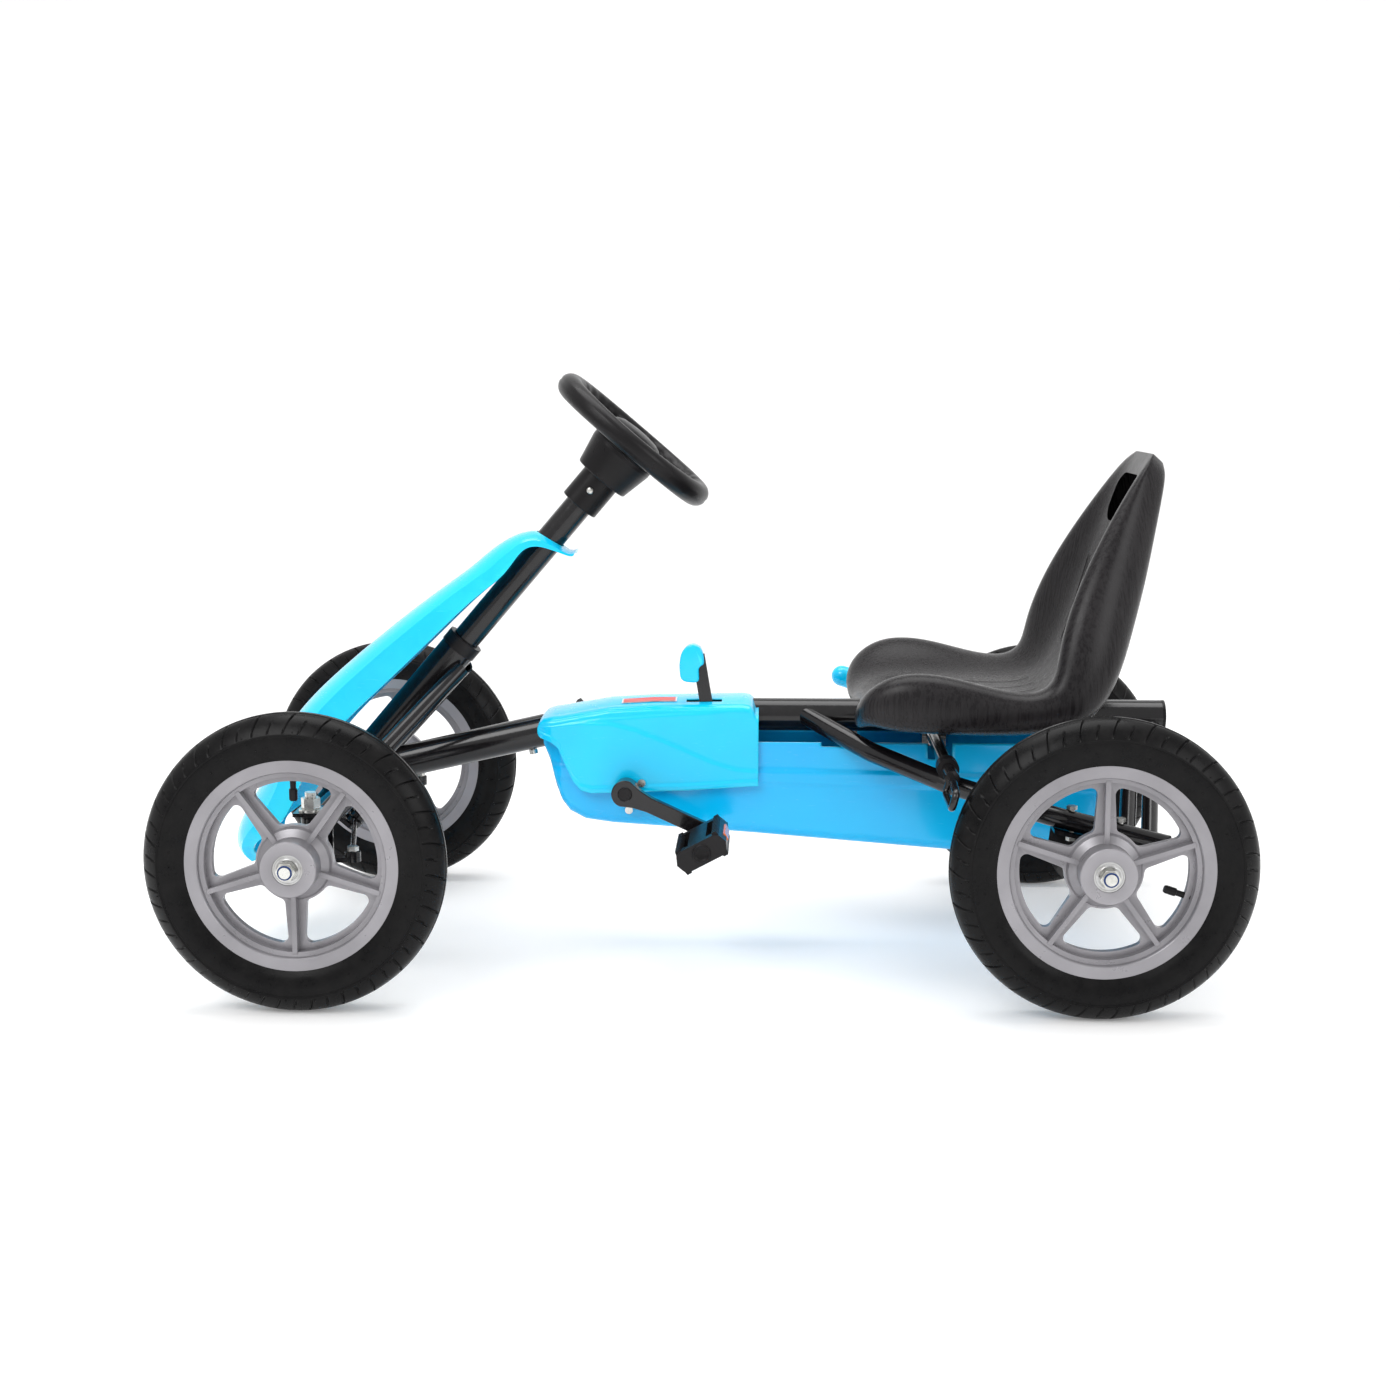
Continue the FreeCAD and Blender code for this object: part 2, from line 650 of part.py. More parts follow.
def make_wheel_sleeve():
    """The plastic sleeve and cup between the column and the steering wheel."""
    body = new_body("WheelSleeve")
    low, cup, top = (K[name] - K["sleeve_bottom"] for name in ("sleeve_bottom", "cup_bottom", "cup_top"))
    bore = K["column_radius"]
    column_end = K["column_top"] - K["sleeve_bottom"]
    section = [(bore, low), (bore + 6.2, low), (bore + 7, low + 0.8), (bore + 7, cup), (32, cup), (33, cup + 1),
               (40, top - 5), (40, top), (4, top), (4, column_end), (bore, column_end)]
    revolve(body, draw(body, "XZ_Plane", section))
    node(body, "wheel_sleeve", facing(column_point(V["sleeve_bottom"]), COLUMN_UP))


def make_steering_wheel():
    """A padded ring with two broad side spokes; the openings are ahead of and behind the pad."""
    centre = column_point(V["wheel_centre"])
    frame = Placement(centre, Rotation(COLUMN_BACK, Y_AXIS, COLUMN_UP, "ZXY"))
    ring = doc.addObject("Part::Torus", "Grip")
    bind(ring, Radius1=K["wheel_ring_radius"], Radius2=K["wheel_grip_radius"])
    ring.Placement = frame
    hub_low = frame.multiply(Placement(Vector(0, 0, V["cup_top"] - V["wheel_centre"]), Rotation()))
    hub = doc.addObject("Part::Cone", "Pad")
    bind(hub, Radius1=K["wheel_ring_radius"] * 0.44, Radius2=K["wheel_ring_radius"] * 0.37, Height=27)
    hub.Placement = hub_low
    spoke_low = frame.multiply(Placement(Vector(0, 0, -8), Rotation()))
    spokes = block(56, K["wheel_ring_radius"] * 2 - 6, 14, spoke_low)
    node(fuse([ring, hub, spokes]), "steering_wheel")


def make_spindles():
    """Kingpin tube, stub axle and steering arm in one forging, with the nuts that it carries."""
    for name, side in SIDES:
        kingpin = Vector(FRONT_X, side * V["kingpin_offset"], 0)
        outward = Vector(0, side, 0)
        tube = rod(K["kingpin_tube_radius"], 62, facing(kingpin + Vector(0, 0, 128)))
        stub_start = kingpin + Vector(0, side * 6, AXLE_Z)
        shoulder_y = WHEEL_Y - V["hub_width"] / 2 + 1.5 - V["side_gap"]
        shoulder = rod(8, shoulder_y - abs(stub_start.y), facing(stub_start, outward))
        stub = rod(K["stub_radius"], WHEEL_Y + 49.5 - abs(stub_start.y), facing(stub_start, outward))
        arm_tip = kingpin + Vector(V["steering_arm"], 0, 142)
        arm = block(K["steering_arm"], 15, 5, Placement(kingpin + Vector(V["steering_arm"] / 2, 0, 142), Rotation()))
        tip = rod(8.5, 5, facing(arm_tip))
        pin = rod(K["tie_rod_radius"], 17, facing(arm_tip))
        bore = rod(8.5, 70, facing(kingpin + Vector(0, 0, 124)))
        forging = cut(fuse([tube, shoulder, stub, arm, tip, pin]), bore)
        washer_y = WHEEL_Y + V["hub_width"] / 2 - 1.5 + V["side_gap"]
        nuts = hub_nut(Vector(FRONT_X, side * washer_y, AXLE_Z), outward)
        pin_nut_at = arm_tip + Vector(0, 0, 11.4)
        pin_nut = cut(hexagon(6.5, 5, facing(pin_nut_at)), rod(K["tie_rod_radius"], 5, facing(pin_nut_at)))
        node(group([forging, pin_nut] + nuts), f"spindle_{name}")


def hub_nut(at, outward):
    """The washer and the lock nut on the end of a stub axle."""
    washer = sleeve(9.5, K["stub_radius"], 1.6, facing(at, outward))
    nut_at = at + outward * 1.6
    nut = cut(hexagon(10.4, 9, facing(nut_at, outward)), rod(K["stub_radius"], 9, facing(nut_at, outward)))
    collar_at = nut_at + outward * 9
    collar = sleeve(8.2, K["stub_radius"], 2.4, facing(collar_at, outward))
    return [washer, fuse([nut, collar])]


def make_kingpins():
    bolts, bushes = [], []
    for _, side in SIDES:
        foot = Vector(FRONT_X, side * V["kingpin_offset"], 0)
        yoke_top = V["front_beam_height"] + 17.5
        yoke_bottom = yoke_top - V["yoke_height"]
        head = hexagon(11, 7, facing(foot + Vector(0, 0, yoke_bottom - 7)))
        shank = rod(K["kingpin_radius"], 104, facing(foot + Vector(0, 0, yoke_bottom - 7)))
        washer = sleeve(13, K["kingpin_radius"], 3, facing(foot + Vector(0, 0, yoke_top)))
        nut_at = foot + Vector(0, 0, yoke_top + 3)
        nut = cut(hexagon(10.4, 12, facing(nut_at)), rod(K["kingpin_radius"], 12, facing(nut_at)))
        bolts += [fuse([head, shank]), washer, nut]
        inner = K["kingpin_radius"] + 0.02
        lug_top = yoke_bottom + V["yoke_thickness"]
        for flange_z, flange_height, stem_z, stem_height in ((190.3, 2.7, 172, 18.5),
                                                             (lug_top, 127.7 - lug_top, 127, 19)):
            flange = sleeve(11, inner, flange_height, facing(foot + Vector(0, 0, flange_z)))
            stem = sleeve(8.45, inner, stem_height, facing(foot + Vector(0, 0, stem_z)))
            bushes.append(fuse([flange, stem]))
    node(group(bolts), "kingpin_bolts")
    node(group(bushes), "kingpin_bushes")


def make_tie_rods():
    """Each rod turns on its steering arm; its inner eye is wide, round the column's pin."""
    for name, side in SIDES:
        outer = Vector(FRONT_X + V["steering_arm"], side * V["kingpin_offset"], 147.3)
        eye = rod(8.5, 5.6, facing(outer))
        bore = rod(K["tie_rod_radius"] + K["running_gap"], 5.6, facing(outer))
        stack = V["column_bottom"] + (3 if side == LEFT else 11)
        inner = column_point(stack, V["pitman_arm"])
        ring = rod(11.3, 5, facing(inner, COLUMN_UP))
        hole = rod(K["tie_rod_radius"] + 3.8, 5, facing(inner, COLUMN_UP))
        start, end = outer + Vector(0, 0, 3.2), inner + COLUMN_UP * 2.5
        direction = (end - start).normalize()
        bar = rod_between(start + direction * 6.8, end - direction * 9.6, 3)
        node(cut(fuse([eye, ring, bar]), fuse([bore, hole])), f"tie_rod_{name}")


# ---------------------------------------------------------------- drive

def pitch_radius(teeth):
    return V["chain_pitch"] / (2 * math.sin(math.pi / teeth))


def make_sprocket(label, teeth, bore, placement):
    body = new_body("Sprocket")
    pitch = pitch_radius(float(teeth))
    disc = draw(body, "XY_Plane", [], 0, [(0, 0, pitch + 3.4)])
    body.Tip = pad(body, disc, K["sprocket_thickness"], symmetric=True)
    gap = draw(body, "XY_Plane", [], 0, [(0, pitch + 0.8, 4.3)])
    around(body, [pocket(body, gap, 20, symmetric=True)], teeth)
    hub = draw(body, "XY_Plane", [], 0, [(0, 0, bore + 6)])
    body.Tip = pad(body, hub, K["sprocket_thickness"] * 3, symmetric=True)
    hole = draw(body, "XY_Plane", [], 0, [(0, 0, bore)])
    pocket(body, hole, 40, symmetric=True)
    return node(body, label, placement)


def belt_face(first_radius, second_radius):
    """The outline of a belt drawn round two circles on the crank and rear axle centres."""
    a, b = Vector(CRANK), Vector(REAR_AXLE)
    line = b - a
    tilt = math.asin((first_radius - second_radius) / line.Length)
    angle = math.atan2(line.z, line.x)

    def spot(centre, radius, turn):
        return centre + Vector(math.cos(angle + turn), 0, math.sin(angle + turn)) * radius

    quarter = math.pi / 2 - tilt
    top_a, top_b = spot(a, first_radius, quarter), spot(b, second_radius, quarter)
    low_a, low_b = spot(a, first_radius, -quarter), spot(b, second_radius, -quarter)
    edges = [Part.makeLine(top_a, top_b),
             Part.Arc(top_b, spot(b, second_radius, 0), low_b).toShape(),
             Part.makeLine(low_b, low_a),
             Part.Arc(low_a, spot(a, first_radius, math.pi), top_a).toShape()]
    return Part.Face(Part.Wire(edges)), (top_a, top_b), (low_b, low_a)


def make_chain():
    """Two side plates with rollers between them on the straight runs."""
    first, second = pitch_radius(V["chainring_teeth"]), pitch_radius(V["sprocket_teeth"])
    half_plate = 4.4
    outside = belt_face(first + half_plate, second + half_plate)[0]
    inside = belt_face(first - half_plate, second - half_plate)[0]
    band = outside.cut(inside)
    gap, thick = 2.3, 1.4
    pieces = []
    for offset in (V["chain_plane"] + gap, V["chain_plane"] - gap - thick):
        plate = band.extrude(Vector(0, thick, 0))
        plate.translate(Vector(0, offset, 0))
        pieces.append(plate)
    _, *runs = belt_face(first, second)
    margin = 26
    for start, end in runs:
        direction = (end - start).normalize()
        count = int(((end - start).Length - 2 * margin) / V["chain_pitch"])
        for index in range(count + 1):
            at = start + direction * (margin + index * V["chain_pitch"])
            base = Vector(at.x, V["chain_plane"] - gap - 0.5, at.z)
            pieces.append(Part.makeCylinder(2.6, 2 * gap + 1, base, Y_AXIS))
    node(fixed_shape(pieces[0].fuse(pieces[1:]), "Chain"), "drive_chain")


def make_crank_housing():
    """A cross tube that hangs from the backbone on two plates."""
    left, right = -34, 14
    place = facing(Vector(CRANK.x, left, CRANK.z), Y_AXIS)
    shell = rod(K["crank_housing_radius"], right - left, place)
    plates = [block(40, 4, 66, Placement(Vector(CRANK.x, y, 196), Rotation())) for y in (-14, 12)]
    bore = rod(K["crank_bush_radius"], right - left, place)
    node(cut(fuse([shell] + plates), fuse([bore, backbone_solid()])), "crank_housing")
    inner = K["crank_axle_radius"] + K["running_gap"]
    starts = [Vector(CRANK.x, left, CRANK.z), Vector(CRANK.x, right - 12, CRANK.z)]
    bushes = [sleeve(K["crank_bush_radius"], inner, 12, facing(start, Y_AXIS)) for start in starts]
    node(group(bushes), "crank_bushes")


def crank_tip(side):
    """The pedal axis on one side: the left arm points back and down, the right one opposite."""
    angle = math.radians(-V["crank_drop"])
    reach = Vector(math.cos(angle), 0, math.sin(angle)) * V["crank_length"]
    return CRANK + (reach if side == LEFT else reach * -1)


def make_crank():
    axle = rod(K["crank_axle_radius"], 172, facing(Vector(CRANK.x, -86, CRANK.z), Y_AXIS))
    node(axle, "crank_axle")
    ring_place = facing(Vector(CRANK.x, V["chain_plane"], CRANK.z), Y_AXIS)
    make_sprocket("chainring", K["chainring_teeth"], K["crank_axle_radius"], ring_place)
    spindles = []
    for name, side in SIDES:
        body = new_body("CrankArm")
        length = K["crank_length"]
        blade = [(-14, -7, (-15.6, 0)), (0, -15.6, (-9.5, -12.5)), (14, -11), (30, -8.6), (length, -8.6),
                 (length, 8.6, (length + 11, 0)), (30, 8.6), (14, 11), (0, 15.6), (-14, 7, (-9.5, 12.5))]
        outward = side == RIGHT
        body.Tip = pad(body, draw(body, "XZ_Plane", blade), 11, reverse=outward)
        boss = draw(body, "XZ_Plane", [], 0, [(0, 0, 14.5)])
        body.Tip = pad(body, boss, 15, reverse=not outward)
        bore = draw(body, "XZ_Plane", [], 0, [(0, 0, K["crank_axle_radius"])])
        pocket(body, bore, 80, symmetric=True)
        bolt = draw(body, "XZ_Plane", [], 0, [(length, 0, 5.5)])
        pocket(body, bolt, 80, symmetric=True)
        round_edges(body, 1.2, lambda edge: edge.BoundBox.YLength < 0.01 and edge.Length > 13
                    and abs(abs(edge.BoundBox.YMin) - 11) < 0.01)
        turn = V["crank_drop"] + (0 if side == LEFT else 180)
        node(body, f"crank_arm_{name}", turned(Y_AXIS, turn, Vector(CRANK.x, side * 75, CRANK.z)))
        tip = crank_tip(side)
        outward_axis = Vector(0, side, 0)
        pin = rod(5.5, 114, facing(Vector(tip.x, side * 75, tip.z), outward_axis))
        collar = rod(8.5, 3, facing(Vector(tip.x, side * 86, tip.z), outward_axis))
        spindles.append(fuse([pin, collar]))
    node(group(spindles), "pedal_spindles")


def make_pedals():
    """A block with two through windows and grip notches, turning on the spindle."""
    for name, side in SIDES:
        body = new_body("Pedal")
        long, thick, width = K["pedal_length"] / 2, K["pedal_thickness"] / 2, K["pedal_width"]
        outline = [(4 - long, thick - 3), (10 - long, thick), (long - 10, thick), (long - 4, thick - 3),
                   (long, 0), (long - 4, 3 - thick), (long - 10, -thick), (10 - long, -thick),
                   (4 - long, 3 - thick), (-long, 0)]
        outward = side == RIGHT
        body.Tip = pad(body, draw(body, "XZ_Plane", outline), width, reverse=outward)
        for low, high in ((-22, -11), (11, 22)):
            near, far = side * 12, side * (V["pedal_width"] - 12)
            window = [(low, near), (high, near), (high, far), (low, far)]
            pocket(body, draw(body, "XY_Plane", window), 60, symmetric=True)
        bore = draw(body, "XZ_Plane", [], 0, [(0, 0, 5.5 + V["running_gap"])])
        pocket(body, bore, K["pedal_width"] - 5, reverse=not outward)
        tip = crank_tip(side)
        place = turned(Y_AXIS, -V["pedal_tilt"], Vector(tip.x, side * 104, tip.z))
        node(body, f"pedal_{name}", place)


def make_rear_axle():
    half = WHEEL_Y - V["hub_width"] / 2 + 1.5 - V["side_gap"]
    bar = rod(K["rear_axle_radius"], 2 * half, facing(REAR_AXLE - Vector(0, half, 0), Y_AXIS))
    reach = WHEEL_Y + 49.5
    ends = rod(K["stub_radius"], 2 * reach, facing(REAR_AXLE - Vector(0, reach, 0), Y_AXIS))
    node(fuse([bar, ends]), "rear_axle")
    place = facing(REAR_AXLE + Vector(0, V["chain_plane"], 0), Y_AXIS)
    make_sprocket("rear_sprocket", K["sprocket_teeth"], K["rear_axle_radius"], place)
    left_y = WHEEL_Y + V["hub_width"] / 2 - 1.5 + V["side_gap"]
    right_y = WHEEL_Y + V["hub_width"] / 2
    nuts = hub_nut(REAR_AXLE - Vector(0, left_y, 0), Y_AXIS * -1)
    nuts += hub_nut(REAR_AXLE + Vector(0, right_y, 0), Y_AXIS)
    node(group(nuts), "rear_axle_nuts")


# ---------------------------------------------------------------- brake and shift levers

def make_brake():
    """One cross shaft with a wire hoop ahead of each rear tyre and a hand lever on the right."""
    x, z = V["brake_shaft_x"], V["brake_shaft_z"]
    reach = V["rail_offset"] + 24
    shaft = rod(K["brake_shaft_radius"], 2 * reach, facing(Vector(x, -reach, z), Y_AXIS))
    hoops = []
    for _, side in SIDES:
        route = [(x, reach - 6, z), (x - 2, 292, z - 2), (x - 6, 292, z - 18), (x - 6, reach - 8, z - 18),
                 (x - 2, reach - 8, z - 2)]
        hoops.append(fixed_shape(swept(mirrored(route, side), 6.5, V["brake_rod_radius"]), "Hoop"))
    node(fuse([shaft] + hoops), "brake_shaft")
    bushes = []
    for _, side in SIDES:
        place = facing(Vector(x, side * 150, z), Vector(0, side, 0))
        bush = sleeve(12, K["brake_shaft_radius"] + K["running_gap"], 24, place)
        bushes.append(cut(bush, rail_solid(side)))
    node(group(bushes), "brake_bushes")
    make_hand_lever()


def make_hand_lever():
    body = new_body("HandLever")
    front_x, front_z = -78, 39
    along = Vector(front_x, 0, front_z).normalize()
    across = Vector(-along.z, 0, along.x) * -9
    tip = Vector(front_x, 0, front_z)
    outline = [(across.x, across.z, (along.x * -12, along.z * -12)), (tip.x + across.x, tip.z + across.z),
               (tip.x - across.x, tip.z - across.z), (-across.x, -across.z)]
    body.Tip = pad(body, draw(body, "XZ_Plane", outline), 6)
    bore = draw(body, "XZ_Plane", [], 0, [(0, 0, K["brake_shaft_radius"])])
    pocket(body, bore, 40, symmetric=True)
    pivot = Vector(V["brake_shaft_x"], V["brake_lever_y"], V["brake_shaft_z"])
    node(body, "brake_lever", Placement(pivot, Rotation()))
    grip_direction = Vector(-46, 0, 15).normalize()
    start = pivot + tip - Vector(0, 3, 0) + Vector(8, 0, -3)
    handle = rod(K["brake_grip_radius"], 34, facing(start, grip_direction))
    nose = doc.addObject("Part::Sphere", "GripNose")
    bind(nose, Radius=K["brake_grip_radius"])
    nose.Placement = Placement(start + grip_direction * 34, Rotation())
    node(cut(fuse([handle, nose]), body), "brake_grip")


def make_shift_lever():
    body = new_body("ShiftLever")
    top = 84
    lean = -14
    outline = [(-7.5, 0), (-7.5 + lean, top), (7.5 + lean, top), (7.5, 0)]
    body.Tip = pad(body, draw(body, "XZ_Plane", outline), 5, symmetric=True)
    eye = draw(body, "XZ_Plane", [], 0, [(0, 0, 8.5)])
    body.Tip = pad(body, eye, 5, symmetric=True)
    bore = draw(body, "XZ_Plane", [], 0, [(0, 0, 4.05)])
    pocket(body, bore, 40, symmetric=True)
    pivot = Vector(V["shift_pivot_x"], V["shift_lever_y"], V["shift_pivot_z"])
    node(body, "shift_lever", Placement(pivot, Rotation()))
    grip = new_body("ShiftGrip")
    hook = [(-22, 52), (-30, 76), (-27, 89), (-18, 95), (-8, 91), (-3, 80), (-3, 52)]
    grip.Tip = pad(grip, draw(grip, "XZ_Plane", hook), 20, symmetric=True)
    round_edges(grip, 2.5, lambda edge: edge.BoundBox.YLength > 19 and edge.BoundBox.ZMin > 60)
    grip.Placement = Placement(pivot, Rotation())
    node(cut(grip, body), "shift_grip")


# ---------------------------------------------------------------- bodywork

def make_cover():
    """A saddle over the backbone and the crank, open below and at the rear."""
    body = new_body("TopCover")
    outline = [(-193, 253), (-187, 288), (46, 308), (60, 292), (64, 194), (-126, 186), (-160, 230), (-189, 238)]
    half = K["cover_half_width"]
    body.Tip = pad(body, draw(body, "XZ_Plane", outline), half * 2, symmetric=True)
    round_edges(body, 13, lambda edge: edge.BoundBox.YLength < 0.01 and edge.BoundBox.ZMin > 250
                and edge.BoundBox.XLength > 100)
    skin = V["skin"]
    inner = [(-193 + skin + 0.4, 253), (-187 + skin, 288 - skin), (90, 308 - skin), (90, 150), (-193 + skin + 0.4, 150)]
    pocket(body, draw(body, "XZ_Plane", inner), (half - K["skin"]) * 2, symmetric=True)
    slope = Vector(*BACKBONE_ROUTE[1]) - Vector(*BACKBONE_ROUTE[0])
    hole = rod_between(Vector(*BACKBONE_ROUTE[0]) + slope * 0.6, Vector(*BACKBONE_ROUTE[1]), 20.5)
    slot = block(40, 9, 60, Placement(Vector(-2, V["shift_lever_y"], 270), Rotation()))
    axle = rod(10, 200, facing(Vector(CRANK.x, -100, CRANK.z), Y_AXIS))
    screws = rod(2.1, 200, facing(COVER_SCREW - Vector(0, 100, 0), Y_AXIS))
    node(cut(body, fuse([hole, slot, axle, screws])), "top_cover")


def make_chain_case():
    """Two mirrored half shells round the chain, open at the top under the backbone."""
    top = 250
    outline = [(-178, 223), (-150, 166), (-121, 150, (-140, 154)), (53, 137), (284, 119), (REAR_X, 114),
               (REAR_X + 45, 159, (REAR_X + 31.8, 127.2)), (462, 215), (445, 243), (64, top), (-60, top),
               (-178, 235)]
    skin = V["skin"]
    inner = [(-178 + skin, 223), (-147, 167.5), (-120, 153, (-138, 157)), (53, 140), (284, 122), (REAR_X, 117),
             (REAR_X + 42, 159, (REAR_X + 29.7, 129.3)), (459, 215), (443, 290), (-178 + skin, 290)]
    for name, side in SIDES:
        body = new_body("ChainCase")
        outward = side == RIGHT
        depth = K["case_half_width"] - 0.3
        body.Tip = pad(body, draw(body, "XZ_Plane", outline), depth, reverse=outward)
        pocket(body, draw(body, "XZ_Plane", inner), depth - K["skin"], reverse=not outward)
        body.Placement = Placement(Vector(0, side * 0.3, 0), Rotation())
        start = Vector(0, -side * 10, 0)
        length = 90
        outward_axis = Vector(0, side, 0)
        holes = [rod(10, length, facing(start + point, outward_axis)) for point in (CRANK, REAR_AXLE)]
        holes.append(rod(2.1, length, facing(start + CASE_SCREW, outward_axis)))
        notch = block(26, 140, 60, Placement(Vector(V["brake_shaft_x"], 0, V["brake_shaft_z"] - 12), Rotation()))
        holes += [notch, rail_solid(side, 1.5), backbone_clearance()]
        node(cut(body, fuse(holes)), f"chain_case_{name}")


def backbone_clearance():
    return fixed_shape(swept(BACKBONE_ROUTE, BACKBONE_BEND, V["backbone_radius"] + 1), "BackboneRoom")


def make_fairing():
    """A crowned channel from the nose up to the steering column, thin-walled and open below."""
    stations = [
        (-535, 100, 68, 22), (-551, 136, 82, 40), (-530, 177, 84, 50), (-502, 232, 76, 50),
        (-472, 278, 66, 50), (-418, 330, 56, 48), (-357, 380, 50, 43), (-285, 433, 43, 32),
        (-225, 477, 37, 22), (-203, 484, 34, 17), (-178, 478, 31, 12), (-148, 464, 24, 7),
    ]
    outer = Part.makeLoft(fairing_sections(stations, 0.0, 0.0), True, False)
    inner = Part.makeLoft(fairing_sections(stations, V["skin"], 12.0), True, False)
    column = Part.makeCylinder(V["column_radius"] + 1.6, 120, column_point(320), COLUMN_UP)
    node(fixed_shape(outer.cut(inner.fuse(column)), "Fairing"), "front_fairing")


def fairing_sections(stations, wall, deeper):
    sections = []
    for index, (x, z, half, depth) in enumerate(stations):
        before = stations[max(index - 1, 0)]
        after = stations[min(index + 1, len(stations) - 1)]
        along = Vector(after[0] - before[0], 0, after[1] - before[1]).normalize()
        normal = Vector(-along.z, 0, along.x)
        centre = Vector(x, 0, z) - normal * wall
        half_width = half - wall
        crown = min(half_width * 0.32, depth * 0.55)

        def spot(across, below):
            return centre + Vector(0, across, 0) - normal * below

        low = depth + deeper - wall
        left_low, left_high = spot(-half_width, low), spot(-half_width * 0.94, crown)
        right_low, right_high = spot(half_width, low), spot(half_width * 0.94, crown)
        edges = [Part.makeLine(left_low, left_high), Part.Arc(left_high, centre, right_high).toShape(),
                 Part.makeLine(right_high, right_low), Part.makeLine(right_low, left_low)]
        sections.append(Part.Wire(edges))
    return sections


SEAT_STATIONS = [
    # x, z of the pan's centre line, half width, bolster height, depth below the pan
    (183, 286, 168, 16, 7), (191, 301, 176, 26, 12), (215, 308, 181, 34, 24), (262, 307, 184, 38, 28),
    (320, 302, 184, 34, 25), (368, 301, 180, 32, 30), (402, 318, 172, 36, 44), (420, 352, 162, 42, 54),
    (434, 395, 150, 44, 58), (449, 445, 136, 38, 58), (465, 500, 120, 26, 50), (481, 548, 104, 14, 38),
    (491, 575, 84, 6, 24),
]


def seat_sections(inset, first, last):
    sections = []
    for index in range(first, last):
        x, z, half, bolster, depth = SEAT_STATIONS[index]
        before = SEAT_STATIONS[max(index - 1, 0)]
        after = SEAT_STATIONS[min(index + 1, len(SEAT_STATIONS) - 1)]
        along = Vector(after[0] - before[0], 0, after[1] - before[1]).normalize()
        normal = Vector(-along.z, 0, along.x)
        centre = Vector(x, 0, z) - normal * inset
        wide, crest = half - inset, half * 0.84

        def spot(across, up):
            return centre + Vector(0, across, 0) + normal * up

        low = 2 * inset - depth
        edges = [
            Part.Arc(spot(-crest, bolster), spot(0, 0), spot(crest, bolster)).toShape(),
            Part.Arc(spot(crest, bolster), spot(half * 0.95 - inset / 2, bolster * 0.86),
                     spot(wide, bolster * 0.5)).toShape(),
            Part.makeLine(spot(wide, bolster * 0.5), spot(wide, low)),
            Part.makeLine(spot(wide, low), spot(-wide, low)),
            Part.makeLine(spot(-wide, low), spot(-wide, bolster * 0.5)),
            Part.Arc(spot(-wide, bolster * 0.5), spot(inset / 2 - half * 0.95, bolster * 0.86),
                     spot(-crest, bolster)).toShape(),
        ]
        sections.append(Part.Wire(edges))
    return sections


def make_seat():
    """A hollow moulded bucket with a channel for the backbone and a hand hole near its top."""
    count = len(SEAT_STATIONS)
    outer = Part.makeLoft(seat_sections(0.0, 0, count), True, False)
    inner = Part.makeLoft(seat_sections(V["seat_wall"], 1, count - 1), True, False)
    channel = Part.makeBox(500, 2 * V["seat_channel"], 74.5, Vector(150, -V["seat_channel"], 220))
    hand_hole = Part.makeBox(120, 84, 24, Vector(430, -42, 535))
    hand_hole.rotate(Vector(480, 0, 547), Y_AXIS, 16)
    hand_hole = hand_hole.makeFillet(10, [e for e in hand_hole.Edges if e.Length > 100])
    node(fixed_shape(outer.cut([inner, channel, hand_hole]), "Seat"), "seat_shell")


def make_seat_bracket():
    """An inverted channel over the backbone that the seat is screwed to."""
    low_x, high_x = 225, 355
    radius = V["backbone_radius"]
    top = V["backbone_height"] + radius
    middle = (low_x + high_x) / 2
    shell = block(high_x - low_x, 2 * radius + 7, 36, Placement(Vector(middle, 0, top - 32.7), Rotation()))
    hollow = block(high_x - low_x, 2 * radius + 1, 33, Placement(Vector(middle, 0, top - 32.7), Rotation()))
    holes = [rod(4.1, 80, facing(Vector(x, -40, V["backbone_height"]), Y_AXIS)) for x in SEAT_BOLT_X]
    node(cut(shell, fuse([hollow] + holes)), "seat_bracket")


# ---------------------------------------------------------------- fasteners

def screw(at, outward, head_radius, head_height, shank_radius, shank_length):
    head = rod(head_radius, head_height, facing(at, outward))
    shank = rod(shank_radius, shank_length, facing(Vector(at) - Vector(outward) * shank_length, outward))
    return fuse([head, shank])


def make_cover_screws():
    screws = []
    for _, side in SIDES:
        outward = Vector(0, side, 0)
        screws.append(screw(COVER_SCREW + outward * V["cover_half_width"], outward, 4.5, 3, 2, 6))
        screws.append(screw(CASE_SCREW + outward * V["case_half_width"], outward, 4.5, 3, 2, 6))
    screws.append(screw(TUBE_SCREW, TUBE_SCREW_AXIS, 5, 5, 2.5, 6))
    node(group(screws), "cover_screws")


def make_frame_bolts():
    bolts = []
    for _, side in SIDES:
        for x in HANGER_BOLT_X:
            at = Vector(x, side * V["rail_offset"], rail_height(x) + V["rail_radius"] + 1.8)
            head = hexagon(5.8, 4, facing(at))
            shank = rod(3, 33, facing(at - Vector(0, 0, 33)))
            nut = hexagon(5.8, 4, facing(at - Vector(0, 0, 34)))
            bolts.append(fuse([head, shank, nut]))
    for x in SEAT_BOLT_X:
        reach = V["backbone_radius"] + 3.5
        height = V["backbone_height"]
        shank = rod(4, 2 * reach + 8, facing(Vector(x, -reach - 4, height), Y_AXIS))
        head = hexagon(6.8, 4, facing(Vector(x, -reach - 4, height), Y_AXIS))
        nut = hexagon(6.8, 5, facing(Vector(x, reach, height), Y_AXIS))
        bolts.append(fuse([shank, head, nut]))
    stud_at = Vector(V["shift_pivot_x"], V["shift_lever_y"] - 3, V["shift_pivot_z"])
    stud = rod(4, abs(stud_at.y) - 16, facing(stud_at, Y_AXIS))
    cap = rod(7, 3, facing(stud_at - Vector(0, 3, 0), Y_AXIS))
    bolts.append(cut(fuse([stud, cap]), backbone_solid()))
    node(group(bolts), "frame_bolts")


